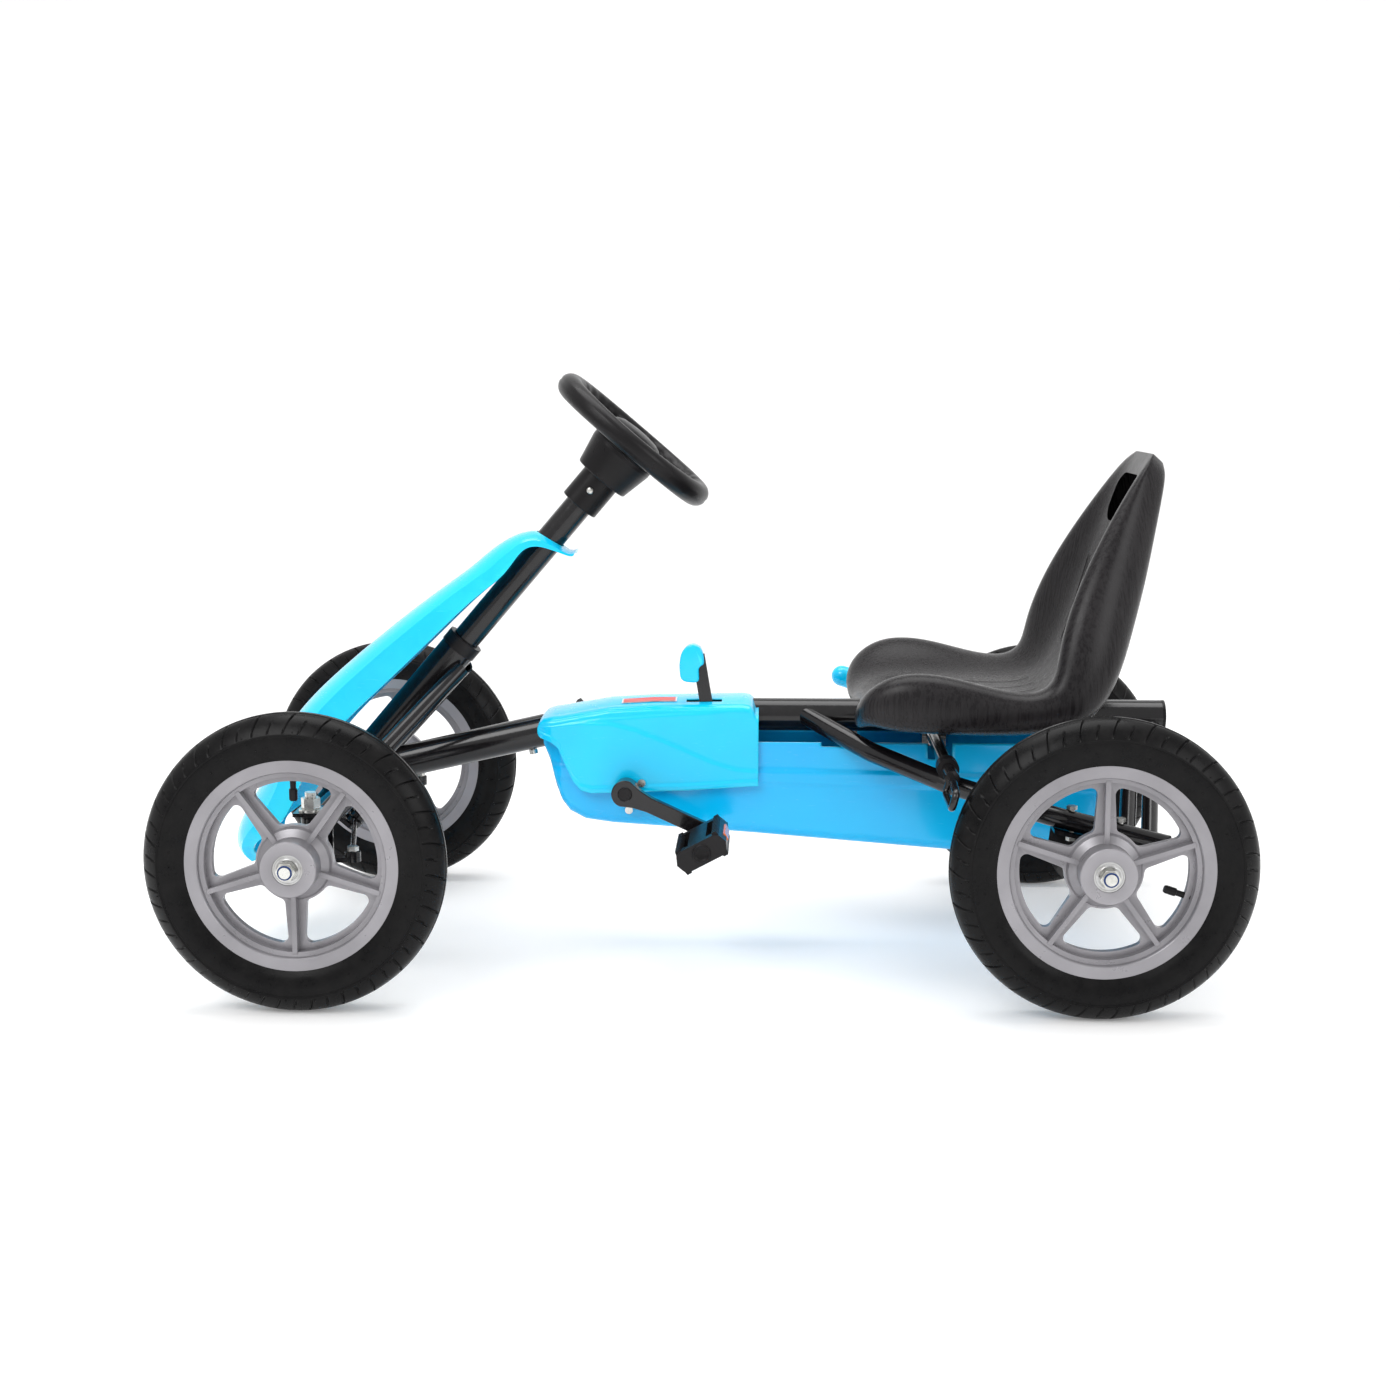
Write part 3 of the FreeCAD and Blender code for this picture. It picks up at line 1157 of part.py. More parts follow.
def main():
    make_backbone()
    make_steering_housing()
    make_front_axle()
    make_yokes()
    make_stays()
    make_side_rails()
    make_rear_struts()
    make_axle_brackets()
    make_tube_plugs()
    make_column_bushes()
    make_steering_column()
    make_wheel_sleeve()
    make_steering_wheel()
    make_kingpins()
    make_spindles()
    make_tie_rods()
    make_crank_housing()
    make_crank()
    make_pedals()
    make_rear_axle()
    make_chain()
    make_brake()
    make_shift_lever()
    make_cover()
    make_chain_case()
    make_fairing()
    make_seat()
    make_seat_bracket()
    make_cover_screws()
    make_frame_bolts()
    make_wheels()
    doc.recompute()
    write_nodes()


def write_nodes():
    failed = [item.Name for item in doc.Objects if {"Invalid", "Error"} & set(item.State)]
    bad = [item.Label for item in nodes if item.Shape.isNull() or not item.Shape.isValid()]
    if failed or bad:
        raise RuntimeError(f"failed objects {failed}, bad shapes {bad}")
    os.makedirs("parts", exist_ok=True)
    for item in nodes:
        item.Shape.exportStep(os.path.join("parts", f"{item.Label}.step"))
    print(len(nodes), "nodes written")


main()
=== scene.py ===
import bpy
import bmesh
import json
import math
from mathutils import Matrix, Vector


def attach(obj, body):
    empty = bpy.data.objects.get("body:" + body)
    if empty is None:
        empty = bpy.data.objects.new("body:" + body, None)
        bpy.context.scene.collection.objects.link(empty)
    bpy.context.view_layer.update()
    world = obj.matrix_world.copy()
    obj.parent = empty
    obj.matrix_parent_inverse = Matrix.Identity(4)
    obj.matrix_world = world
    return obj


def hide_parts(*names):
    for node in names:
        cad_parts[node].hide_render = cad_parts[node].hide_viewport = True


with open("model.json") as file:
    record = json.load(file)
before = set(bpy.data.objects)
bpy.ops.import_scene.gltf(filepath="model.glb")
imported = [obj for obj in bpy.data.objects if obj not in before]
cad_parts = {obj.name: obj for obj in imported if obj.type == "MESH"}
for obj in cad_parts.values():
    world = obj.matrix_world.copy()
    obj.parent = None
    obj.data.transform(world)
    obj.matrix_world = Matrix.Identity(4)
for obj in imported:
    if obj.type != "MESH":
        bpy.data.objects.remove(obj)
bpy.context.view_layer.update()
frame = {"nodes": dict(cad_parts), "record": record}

# Lengths are in metres. +X runs to the kart's rear, +Y to the rider's right and +Z up.
SIDES = {"left": -1, "right": 1}
HALF_WHEELBASE, WHEEL_Y, AXLE_Z = 0.419, 0.2865, 0.159
CRANK_X, CRANK_Z, CRANK_LENGTH = -0.089, 0.192, 0.1
CRANK_DROP, PEDAL_TILT = math.radians(24.8), math.radians(28)
PEDAL_Y, PEDAL_WIDTH = 0.104, 0.092
COLUMN_ANGLE = math.radians(49.5)
COLUMN_UP = Vector((math.cos(COLUMN_ANGLE), 0, math.sin(COLUMN_ANGLE)))
COLUMN_BACK = Vector((math.sin(COLUMN_ANGLE), 0, -math.cos(COLUMN_ANGLE)))
COLUMN_FOOT = Vector((-HALF_WHEELBASE, 0, 0.1948))
SLEEVE_SCREW, WHEEL_CENTRE = 0.443, 0.518


def column_point(along, behind=0.0, across=0.0):
    """A point given by its distance up the steering column, behind it and across it."""
    return COLUMN_FOOT + COLUMN_UP * along + COLUMN_BACK * behind + Vector((0, across, 0))


# ------------------------------------------------------------------ materials

class Nodes:
    """A short way to add linked shader nodes."""

    def __init__(self, name):
        self.material = bpy.data.materials.new(name)
        self.material.use_nodes = True
        self.tree = self.material.node_tree
        self.shader = self.tree.nodes["Principled BSDF"]
        coordinates = self.tree.nodes.new("ShaderNodeTexCoord")
        self.place = coordinates.outputs["Object"]

    def link(self, source, target):
        self.tree.links.new(source, target)

    def noise(self, scale, detail=3.0, rough=0.5, stretch=None):
        node = self.tree.nodes.new("ShaderNodeTexNoise")
        node.inputs["Scale"].default_value = scale
        node.inputs["Detail"].default_value = detail
        node.inputs["Roughness"].default_value = rough
        place = self.place
        if stretch:
            mapping = self.tree.nodes.new("ShaderNodeMapping")
            mapping.inputs["Scale"].default_value = stretch
            self.link(place, mapping.inputs["Vector"])
            place = mapping.outputs["Vector"]
        self.link(place, node.inputs["Vector"])
        return node.outputs["Fac"]

    def ramp(self, factor, low, high, start, end):
        node = self.tree.nodes.new("ShaderNodeMapRange")
        for name, value in (("From Min", low), ("From Max", high), ("To Min", start), ("To Max", end)):
            node.inputs[name].default_value = value
        self.link(factor, node.inputs["Value"])
        return node.outputs["Result"]

    def mix(self, factor, first, second):
        node = self.tree.nodes.new("ShaderNodeMix")
        node.data_type = "RGBA"
        self.link(factor, node.inputs["Factor"])
        for socket, value in ((node.inputs["A"], first), (node.inputs["B"], second)):
            if isinstance(value, tuple):
                socket.default_value = (*value, 1.0)
            else:
                self.link(value, socket)
        return node.outputs["Result"]

    def math(self, kind, first, second=None):
        node = self.tree.nodes.new("ShaderNodeMath")
        node.operation = kind
        for socket, value in zip(node.inputs, (first, second)):
            if isinstance(value, (int, float)):
                socket.default_value = value
            elif value is not None:
                self.link(value, socket)
        return node.outputs["Value"]

    def edges(self, low, high):
        """0 on flats, 1 on convex edges."""
        node = self.tree.nodes.new("ShaderNodeNewGeometry")
        return self.ramp(node.outputs["Pointiness"], low, high, 0.0, 1.0)

    def bump(self, *layers):
        """Each layer is a height and its depth in metres; they are stacked."""
        before = None
        for height, depth in layers:
            node = self.tree.nodes.new("ShaderNodeBump")
            node.inputs["Distance"].default_value = depth
            node.inputs["Strength"].default_value = 1.0
            self.link(height, node.inputs["Height"])
            if before is not None:
                self.link(before, node.inputs["Normal"])
            before = node.outputs["Normal"]
        self.link(before, self.shader.inputs["Normal"])

    def set(self, **values):
        for name, value in values.items():
            socket = self.shader.inputs[name.replace("_", " ")]
            if isinstance(value, tuple):
                socket.default_value = (*value, 1.0)
            elif isinstance(value, (int, float)):
                socket.default_value = value
            else:
                self.link(value, socket)


def gloss_plastic(name, colour, shade, roughness=0.16, grain=0.00002, coat=0.4):
    """Gloss moulding: slight colour drift, flow ripples, handling scuffs, soft worn edges."""
    n = Nodes(name)
    drift = n.ramp(n.noise(9, 4), 0.35, 0.65, 0.0, 1.0)
    scuff = n.ramp(n.noise(60, 8, 0.7, (1, 1, 9)), 0.56, 0.72, 0.0, 1.0)
    colour_mix = n.mix(drift, colour, shade)
    faded = tuple(min(1, c * 1.5 + 0.06) for c in colour)
    worn = n.mix(n.math("MULTIPLY", n.edges(0.52, 0.6), 0.25), colour_mix, faded)
    n.set(Base_Color=worn, Specular_IOR_Level=0.35)
    rough = n.math("ADD", n.ramp(scuff, 0, 1, roughness, roughness + 0.12), n.ramp(drift, 0, 1, 0.0, 0.03))
    n.set(Roughness=rough, Coat_Weight=coat, Coat_Roughness=0.08)
    n.bump((n.noise(26, 2), grain * 14), (n.noise(900, 3), grain))
    return n.material


def satin_plastic(name, colour, roughness=0.42, grain=0.00008, scale=1400, gloss=0.25, metal=0.0):
    """Textured moulding: fine spark-eroded grain, faint streaks where it has been rubbed."""
    n = Nodes(name)
    cloud = n.ramp(n.noise(14, 4), 0.3, 0.7, 0.0, 1.0)
    base = n.mix(cloud, colour, tuple(c * 1.35 + 0.002 for c in colour))
    rub = n.ramp(n.noise(30, 6, 0.6, (1, 6, 1)), 0.5, 0.75, 0.0, 1.0)
    base = n.mix(n.math("MULTIPLY", n.edges(0.52, 0.62), 0.3), base, tuple(c * 2.2 + 0.01 for c in colour))
    n.set(Base_Color=base, Roughness=n.ramp(rub, 0, 1, roughness, roughness - 0.12))
    n.set(Specular_IOR_Level=gloss, Metallic=metal)
    n.bump((n.noise(40, 2), grain * 2), (n.noise(scale, 4, 0.65), grain))
    return n.material


def powder_coat(name, colour, roughness=0.18):
    """Black powder coat: orange-peel ripple and fine dust."""
    n = Nodes(name)
    dust = n.ramp(n.noise(120, 8, 0.75), 0.5, 0.8, 0.0, 1.0)
    base = n.mix(n.math("MULTIPLY", dust, 0.2), colour, (0.04, 0.04, 0.042))
    n.set(Base_Color=base, Specular_IOR_Level=0.35)
    n.set(Roughness=n.ramp(dust, 0, 1, roughness, roughness + 0.14), Coat_Weight=0.25, Coat_Roughness=0.08)
    n.bump((n.noise(330, 3), 0.00004), (n.noise(1500, 2), 0.00001))
    return n.material


def plated(name, colour, roughness=0.28, brushed=None, stain=(0.25, 0.23, 0.2)):
    """Bare or plated metal with fine machining lines and slight tarnish."""
    n = Nodes(name)
    lines = n.noise(700, 4, 0.6, brushed or (1, 1, 1))
    cloud = n.ramp(n.noise(70, 6, 0.65), 0.45, 0.75, 0.0, 1.0)
    n.set(Base_Color=n.mix(n.math("MULTIPLY", cloud, 0.55), colour, stain), Metallic=1.0)
    machined = n.ramp(lines, 0.3, 0.7, roughness - 0.06, roughness + 0.08)
    n.set(Roughness=n.math("ADD", machined, n.ramp(cloud, 0, 1, 0, 0.12)))
    n.bump((lines, 0.00002), (n.noise(90, 3), 0.00003))
    return n.material


def seat_plastic():
    """Charcoal polyethylene with rubbed streaks, painted lighter as a sheen, and the moulded grooves of the pan
    and the back.
    """
    n = Nodes("seat_plastic")
    rub_and_sheen = n.ramp(n.noise(1, 6, 0.7, (260, 420, 14)), 0.42, 0.68, 0.0, 1.0)
    cloud = n.ramp(n.noise(11, 5), 0.35, 0.68, 0.0, 1.0)
    base = n.mix(cloud, (0.0075, 0.0065, 0.0074), (0.014, 0.0125, 0.0135))
    # The streaks are painted lighter in colour as a painted sheen; their roughness and bump are the real rubbing
    n.set(Base_Color=n.mix(n.math("MULTIPLY", rub_and_sheen, 0.6), base, (0.026, 0.0235, 0.025)))
    n.set(Roughness=n.ramp(rub_and_sheen, 0, 1, 0.24, 0.42), Specular_IOR_Level=0.2)
    axes = n.tree.nodes.new("ShaderNodeSeparateXYZ")
    n.link(n.place, axes.inputs["Vector"])
    across = n.math("ABSOLUTE", axes.outputs["Y"])
    grooves = None
    for offset in (0.02, 0.058):
        distance = n.math("ABSOLUTE", n.math("SUBTRACT", across, offset))
        groove = n.ramp(distance, 0.0008, 0.0042, 1.0, 0.0)
        grooves = groove if grooves is None else n.math("MAXIMUM", grooves, groove)
    along, height = axes.outputs["X"], axes.outputs["Z"]
    pan = n.math("MULTIPLY", n.ramp(along, 0.212, 0.222, 0, 1), n.ramp(along, 0.372, 0.384, 1, 0))
    back = n.math("MULTIPLY", n.ramp(height, 0.352, 0.362, 0, 1), n.ramp(height, 0.44, 0.455, 1, 0))
    place = n.math("MAXIMUM", n.math("MULTIPLY", pan, n.ramp(height, 0.34, 0.345, 1, 0)), back)
    front = n.ramp(along, 0.452, 0.458, 1, 0)
    cut = n.math("MULTIPLY", n.math("MULTIPLY", grooves, place), front)
    n.bump((n.math("SUBTRACT", 1.0, cut), 0.003), (rub_and_sheen, 0.00004), (n.noise(1300, 4, 0.7), 0.00005))
    return n.material


def tyre_rubber():
    """Black rubber with a thin film of road dust."""
    n = Nodes("tyre_rubber")
    dust = n.ramp(n.noise(45, 8, 0.7), 0.42, 0.75, 0.0, 1.0)
    base = n.mix(dust, (0.0035, 0.0034, 0.0037), (0.0085, 0.008, 0.008))
    n.set(Base_Color=base, Specular_IOR_Level=0.12)
    n.set(Roughness=n.ramp(dust, 0, 1, 0.27, 0.45))
    n.bump((n.noise(160, 3), 0.00008), (n.noise(2200, 4, 0.7), 0.00004))
    return n.material


BLUE = (0.0, 0.62, 0.95)
MATERIALS = {
    "blue_plastic": gloss_plastic("blue_plastic", BLUE, (0.0, 0.57, 0.94), 0.2),
    # Painted shade: a darker copy of the blue plastic, made for the chain cases because they stand in shade
    "painted_shade_blue": gloss_plastic("painted_shade_blue", (0.0, 0.5, 0.93), (0.0, 0.45, 0.91), 0.2),
    "black_plastic": gloss_plastic("black_plastic", (0.012, 0.012, 0.013), (0.02, 0.02, 0.021), 0.2),
    "dark_plastic": satin_plastic("dark_plastic", (0.0048, 0.0042, 0.0048), 0.34, gloss=0.2),
    "seat_plastic": seat_plastic(),
    "grey_plastic": satin_plastic("grey_plastic", (0.215, 0.208, 0.222), 0.34, 0.00003, 1400, 0.5, 0.35),
    "black_steel": powder_coat("black_steel", (0.006, 0.0052, 0.006)),
    "zinc_steel": plated("zinc_steel", (0.66, 0.66, 0.63)),
    "bearing_steel": plated("bearing_steel", (0.5, 0.5, 0.5), 0.32),
    "chain_steel": plated("chain_steel", (0.24, 0.22, 0.2), 0.42, stain=(0.08, 0.05, 0.03)),
    "tyre_rubber": tyre_rubber(),
    "reflector_orange": gloss_plastic("reflector_orange", (0.9, 0.2, 0.01), (0.8, 0.12, 0.01), 0.1),
    "label_red": gloss_plastic("label_red", (0.75, 0.03, 0.03), (0.65, 0.02, 0.02), 0.3),
    "blue_ring": satin_plastic("blue_ring", (0.01, 0.03, 0.11), 0.4),
    "reflector_white": gloss_plastic("reflector_white", (0.8, 0.8, 0.78), (0.7, 0.7, 0.7), 0.1),
}

# Nodes whose finish differs from the record's slot.
FINISHES = {"seat_shell": "seat_plastic", "crank_axle": "dark_plastic", "chain_case_left": "blue_plastic",
            "chain_case_right": "blue_plastic"}
for part in frame["record"]["subparts"]:
    target = frame["nodes"][part["node"]]
    target.data.materials.clear()
    target.data.materials.append(MATERIALS[FINISHES.get(part["node"], part["material_slot"])])


# ------------------------------------------------------------------ stage, lights and camera

def make_stage():
    """A white floor that curves up into a white wall."""
    floor = bpy.data.meshes.new("floor")
    rim, depth, height, radius = 6.0, 3.2, 5.0, 1.6
    profile = [(-4.5, 0.0)]
    steps = 16
    for index in range(steps + 1):
        angle = math.pi / 2 * index / steps
        profile.append((depth + radius * math.sin(angle), radius - radius * math.cos(angle)))
    profile.append((depth + radius, height))
    verts = [(x, y, z) for y, z in profile for x in (-rim, rim)]
    faces = [(2 * i, 2 * i + 1, 2 * i + 3, 2 * i + 2) for i in range(len(profile) - 1)]
    floor.from_pydata(verts, [], faces)
    floor.polygons.foreach_set("use_smooth", [True] * len(faces))
    obj = bpy.data.objects.new("floor", floor)
    bpy.context.scene.collection.objects.link(obj)
    n = Nodes("floor")
    n.set(Base_Color=n.mix(n.ramp(n.noise(3, 4), 0.3, 0.7, 0, 1), (0.86, 0.86, 0.86), (0.88, 0.88, 0.88)))
    n.set(Roughness=0.6, Emission_Color=(1, 1, 1), Emission_Strength=0.16)
    n.bump((n.noise(300, 3), 0.00002))
    floor.materials.append(n.material)


def area_light(name, at, target, size, power, colour=(1, 1, 1)):
    light = bpy.data.lights.new(name, "AREA")
    light.shape = "RECTANGLE"
    light.size, light.size_y = size
    light.energy = power
    light.color = colour
    obj = bpy.data.objects.new(name, light)
    obj.location = at
    obj.rotation_euler = (Vector(target) - Vector(at)).to_track_quat("-Z", "Y").to_euler()
    bpy.context.scene.collection.objects.link(obj)


def make_camera():
    camera = bpy.data.cameras.new("camera")
    camera.lens = 51.55
    camera.sensor_width = 36
    obj = bpy.data.objects.new("camera", camera)
    forward = Vector((-0.0348, 0.9871, -0.1564))
    right = Vector((0.9994, 0.0353, 0.0)).normalized()
    up = right.cross(forward).normalized()
    right = forward.cross(up).normalized()
    turn = Matrix((right, up, -forward.normalized())).transposed()
    obj.matrix_world = Matrix.Translation(Vector((0.0747, -2.3102, 0.6533))) @ turn.to_4x4()
    bpy.context.scene.collection.objects.link(obj)
    bpy.context.scene.camera = obj


def make_lights():
    world = bpy.data.worlds.new("studio")
    bpy.context.scene.world = world
    world.use_nodes = True
    world.node_tree.nodes["Background"].inputs["Color"].default_value = (1, 1, 1, 1)
    world.node_tree.nodes["Background"].inputs["Strength"].default_value = 0.75
    area_light("key", (-1.6, -2.4, 3.0), (0, 0, 0.3), (2.2, 1.6), 62)
    area_light("fill", (2.6, -1.8, 1.6), (0, 0, 0.3), (1.6, 1.6), 22)
    area_light("top", (0.0, 0.4, 3.4), (0, 0, 0.2), (3.0, 2.2), 70)
    bpy.context.scene.view_settings.view_transform = "Standard"


make_stage()
make_camera()
make_lights()


# ------------------------------------------------------------------ mesh helpers

def mesh_of(name, verts, faces):
    mesh = bpy.data.meshes.new(name)
    mesh.from_pydata(verts, [], faces)
    mesh.update()
    return mesh


def smooth_above(mesh, degrees):
    """Smooth shading, kept sharp at edges that turn more than this."""
    mesh.polygons.foreach_set("use_smooth", [True] * len(mesh.polygons))
    mesh.update()
    mesh.set_sharp_from_angle(angle=math.radians(degrees))
    return mesh


def band_faces(here, there, count, closed=True):
    """Faces between two rows of points that start at indices here and there."""
    faces = []
    for index in range(count if closed else count - 1):
        following = (index + 1) % count
        faces.append((here + index, there + index, there + following, here + following))
    return faces


def add_piece(name, mesh, body, slot, material=None, smooth=True, at=None):
    """A piece that rides on a body; at places its mesh, so that its own box stays tight."""
    if at is not None:
        mesh = mesh.copy()
        mesh.transform(at)
    obj = bpy.data.objects.new(name, mesh)
    if not mesh.materials:
        mesh.materials.append(MATERIALS[material or slot])
    if smooth:
        mesh.polygons.foreach_set("use_smooth", [True] * len(mesh.polygons))
    bpy.context.scene.collection.objects.link(obj)
    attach(obj, body)
    return obj


def lathe(name, profile, segments, closed=True, shape=None):
    """Turns (radius, height) points about Z; shape may move each point by angle and profile index."""
    verts, faces = [], []
    count = len(profile)
    for step in range(segments):
        angle = 2 * math.pi * step / segments
        for index, (radius, height) in enumerate(profile):
            if shape:
                radius, height = shape(angle, index, radius, height)
            verts.append((radius * math.cos(angle), radius * math.sin(angle), height))
    for step in range(segments):
        faces += band_faces(step * count, (step + 1) % segments * count, count, closed)
    mesh = mesh_of(name, verts, faces)
    mesh.validate()
    return mesh


def wheel_matrix(front, side, roll):
    """From a wheel's own frame, with Z outboard, to the kart's."""
    centre = Matrix.Translation((-HALF_WHEELBASE if front else HALF_WHEELBASE, side * WHEEL_Y, AXLE_Z))
    outboard = Matrix.Rotation(math.radians(90 if side < 0 else -90), 4, "X")
    return centre @ outboard @ Matrix.Rotation(math.radians(roll), 4, "Z")


# Front or rear, side, roll in degrees and the body that the wheel belongs to.
WHEELS = {
    "front_left": (True, -1, 180, "front_wheel_left"), "front_right": (True, 1, 184, "front_wheel_right"),
    "rear_left": (False, -1, 72, "rear_wheel_left"), "rear_right": (False, 1, 130, "axle"),
}


# ------------------------------------------------------------------ tyres and wheels

# Distances outboard from the wheel's middle plane.
BEARING_FACE, NUT_END = 0.0352, 0.0481
PITCHES = 54
CROWN_STEPS = 26


def tyre_profile():
    """Radius and height points from the inner bead over the tread to the outer bead."""
    half = [(0.1042, 0.0158), (0.1075, 0.0186), (0.1128, 0.0212), (0.1165, 0.0238), (0.122, 0.0259),
            (0.1285, 0.0272), (0.134, 0.0276), (0.1372, 0.0274), (0.1378, 0.0268), (0.1392, 0.0268),
            (0.1398, 0.0271)]
    crown = []
    for index in range(CROWN_STEPS + 1):
        t = 1 - 2 * index / CROWN_STEPS
        crown.append((AXLE_Z - 0.0185 * abs(t) ** 2.35, 0.0268 * t))
    return half + crown + [(r, -z) for r, z in reversed(half)] + [(0.1035, -0.012), (0.1035, 0.012)]


def tread(column, columns, across, radius):
    """Cuts slits and two round grooves into the crown; across is 0 in the middle, 1 at its edge."""
    phase = column % (columns // PITCHES)
    short = (column // (columns // PITCHES)) % 2
    start = 0.62 if short else 0.3
    if phase in (0, 1) and start < across < 0.99:
        return radius - 0.0022
    if 0.12 < across < 0.21:
        return radius - 0.0018
    return radius


def make_tyre_mesh():
    """Casing, slanting tread and the moulding hairs."""
    profile = tyre_profile()
    first = 11
    last = first + CROWN_STEPS
    columns = PITCHES * 18
    verts, faces = [], []
    count = len(profile)
    for step in range(columns):
        for index, (radius, height) in enumerate(profile):
            across = 1.0
            if first <= index <= last:
                across = abs(1 - 2 * (index - first) / (last - first))
                radius = tread(step, columns, across, radius)
            turn = 2 * math.pi * step / columns + 0.075 * across ** 1.3
            verts.append((radius * math.cos(turn), radius * math.sin(turn), height))
    for step in range(columns):
        faces += band_faces(step * count, (step + 1) % columns * count, count)
    hairs = 46
    for number in range(hairs):
        angle = 2 * math.pi * (number + 0.37 * math.sin(number * 2.3)) / hairs
        for side in (-1, 1):
            base_r, base_z = (0.1425, 0.0258) if number % 3 else (0.1255, 0.0266)
            lean = 0.0012 * math.sin(number * 1.7)
            add_hair(verts, faces, angle, base_r, side * base_z, side, lean)
    mesh = smooth_above(mesh_of("tyre", verts, faces), 38)
    mesh.materials.append(MATERIALS["tyre_rubber"])
    return mesh


def add_hair(verts, faces, angle, radius, height, side, lean):
    """A thin moulding hair that stands off the rubber."""
    start = len(verts)
    centre = Vector((radius * math.cos(angle), radius * math.sin(angle), height))
    outward = Vector((math.cos(angle), math.sin(angle), 0))
    around = Vector((-math.sin(angle), math.cos(angle), 0))
    for corner in range(4):
        turn = math.pi / 2 * corner
        verts.append(tuple(centre + (outward * math.cos(turn) + around * math.sin(turn)) * 0.00045))
    verts.append(tuple(centre + outward * 0.0008 + Vector((0, 0, side * 0.0032)) + around * lean))
    for corner in range(4):
        faces.append((start + corner, start + (corner + 1) % 4, start + 4))


def make_valve_mesh():
    """Rubber stem with a ribbed cap, pointing to the hub along -Y."""
    profile = [(0.0, 0.0), (0.0062, 0.0), (0.006, 0.003), (0.0034, 0.006), (0.0031, 0.019), (0.0042, 0.0195),
               (0.0044, 0.021), (0.0043, 0.0305), (0.0034, 0.032), (0.0, 0.0322)]
    verts, faces = [], []
    ring = 30
    for step in range(ring):
        angle = 2 * math.pi * step / ring
        for index, (radius, length) in enumerate(profile):
            if index in (6, 7) and step % 3 == 0:
                radius -= 0.0005
            verts.append((radius * math.cos(angle), -0.0975 + length, radius * math.sin(angle)))
    count = len(profile)
    for step in range(ring):
        here, there = step * count, (step + 1) % ring * count
        for index in range(count - 1):
            faces.append((here + index, here + index + 1, there + index + 1, there + index))
    mesh = smooth_above(mesh_of("valve", verts, faces), 35)
    mesh.materials.append(MATERIALS["dark_plastic"])
    return mesh


def make_bearing_mesh():
    """The outside of a shielded bearing, on one face: rings, shield and inner race."""
    profile = [(0.0105, 0.0), (0.0105, 0.0006), (0.0112, 0.0007), (0.0118, 0.0002), (0.0138, 0.0002),
               (0.0142, 0.0006), (0.0157, 0.0006), (0.0159, 0.0002), (0.0159, -0.001), (0.0105, -0.001)]
    mesh = smooth_above(lathe("bearing_shield", profile, 72), 30)
    mesh.materials.append(MATERIALS["bearing_steel"])
    return mesh


def make_nyloc_mesh():
    """The blue ring inside a lock nut's collar."""
    profile = [(0.0058, 0.0), (0.0058, 0.0008), (0.0066, 0.0012), (0.0076, 0.0009), (0.0079, 0.0)]
    mesh = lathe("lock_ring", profile, 48)
    mesh.materials.append(MATERIALS["blue_ring"])
    return mesh


def make_wheels():
    """Tyre, valve and bearing face for each wheel, and the ring in each lock nut that shows."""
    tyre, valve = make_tyre_mesh(), make_valve_mesh()
    shield, ring = make_bearing_mesh(), make_nyloc_mesh()
    for name, (front, side, roll, body) in WHEELS.items():
        place = wheel_matrix(front, side, roll)
        piece = add_piece(f"tyre_tread_{name}", tyre, body, "tyre_rubber", smooth=False, at=place)
        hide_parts(f"tyre_{name}")
        add_piece(f"valve_{name}", valve, body, "dark_plastic", smooth=False, at=place)
        face = Matrix.Translation((0, 0, BEARING_FACE))
        add_piece(f"bearing_face_{name}", shield, body, "bearing_steel", smooth=False, at=place @ face)
        if name != "rear_right":
            carrier = f"knuckle_{name[6:]}" if front else "axle"
            add_piece(f"lock_ring_{name}", ring, carrier, "dark_plastic", smooth=False,
                      at=place @ Matrix.Translation((0, 0, NUT_END)))


def two_tone(node, body, slot, second_slot, test):
    """A copy of a CAD node in two finishes; test(x, y, z) picks the faces of the second one."""
    source = frame["nodes"][node]
    mesh = source.data.copy()
    mesh.materials.clear()
    mesh.materials.append(MATERIALS[slot])
    mesh.materials.append(MATERIALS[second_slot])
    for polygon in mesh.polygons:
        polygon.material_index = 1 if test(*polygon.center) else 0
    piece = add_piece(f"{node}_finish", mesh, body, slot, smooth=False)
    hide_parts(node)
    return piece


def make_spindle_finish():
    """Black forgings with bare nuts and pins."""
    for name in SIDES:
        two_tone(f"spindle_{name}", f"knuckle_{name}", "black_steel", "zinc_steel",
                 lambda x, y, z: abs(y) > 0.318 or (z > 0.1525 and x > -0.383))


# ------------------------------------------------------------------ seat

SEAT_STATIONS = [
    # x, z of the pan's centre line, half width, bolster height, depth below the pan
    (0.174, 0.278, 0.128, 0.004, 0.004), (0.177, 0.288, 0.156, 0.012, 0.012),
    (0.188, 0.299, 0.172, 0.024, 0.022), (0.215, 0.307, 0.181, 0.036, 0.031),
    (0.262, 0.305, 0.184, 0.036, 0.031), (0.320, 0.300, 0.183, 0.024, 0.027),
    (0.368, 0.299, 0.181, 0.020, 0.025), (0.404, 0.314, 0.176, 0.028, 0.038),
    (0.422, 0.352, 0.168, 0.036, 0.040), (0.436, 0.395, 0.154, 0.038, 0.040),
    (0.451, 0.445, 0.134, 0.032, 0.040), (0.467, 0.498, 0.108, 0.020, 0.036),
    (0.482, 0.543, 0.088, 0.008, 0.031), (0.492, 0.566, 0.074, 0.002, 0.026),
    (0.499, 0.575, 0.052, 0.0, 0.018),
]
SEAT_SECTION = [
    # across as a share of the half width, height as a share of the bolster (+) or the depth (-)
    (0.0, 0.0), (0.26, 0.02), (0.48, 0.12), (0.66, 0.52), (0.78, 0.95), (0.88, 1.08), (0.965, 0.88),
    (1.0, 0.35), (1.0, -0.25), (0.975, -0.7), (0.9, -0.96), (0.72, -1.0), (0.4, -1.0), (0.0, -1.0),
]


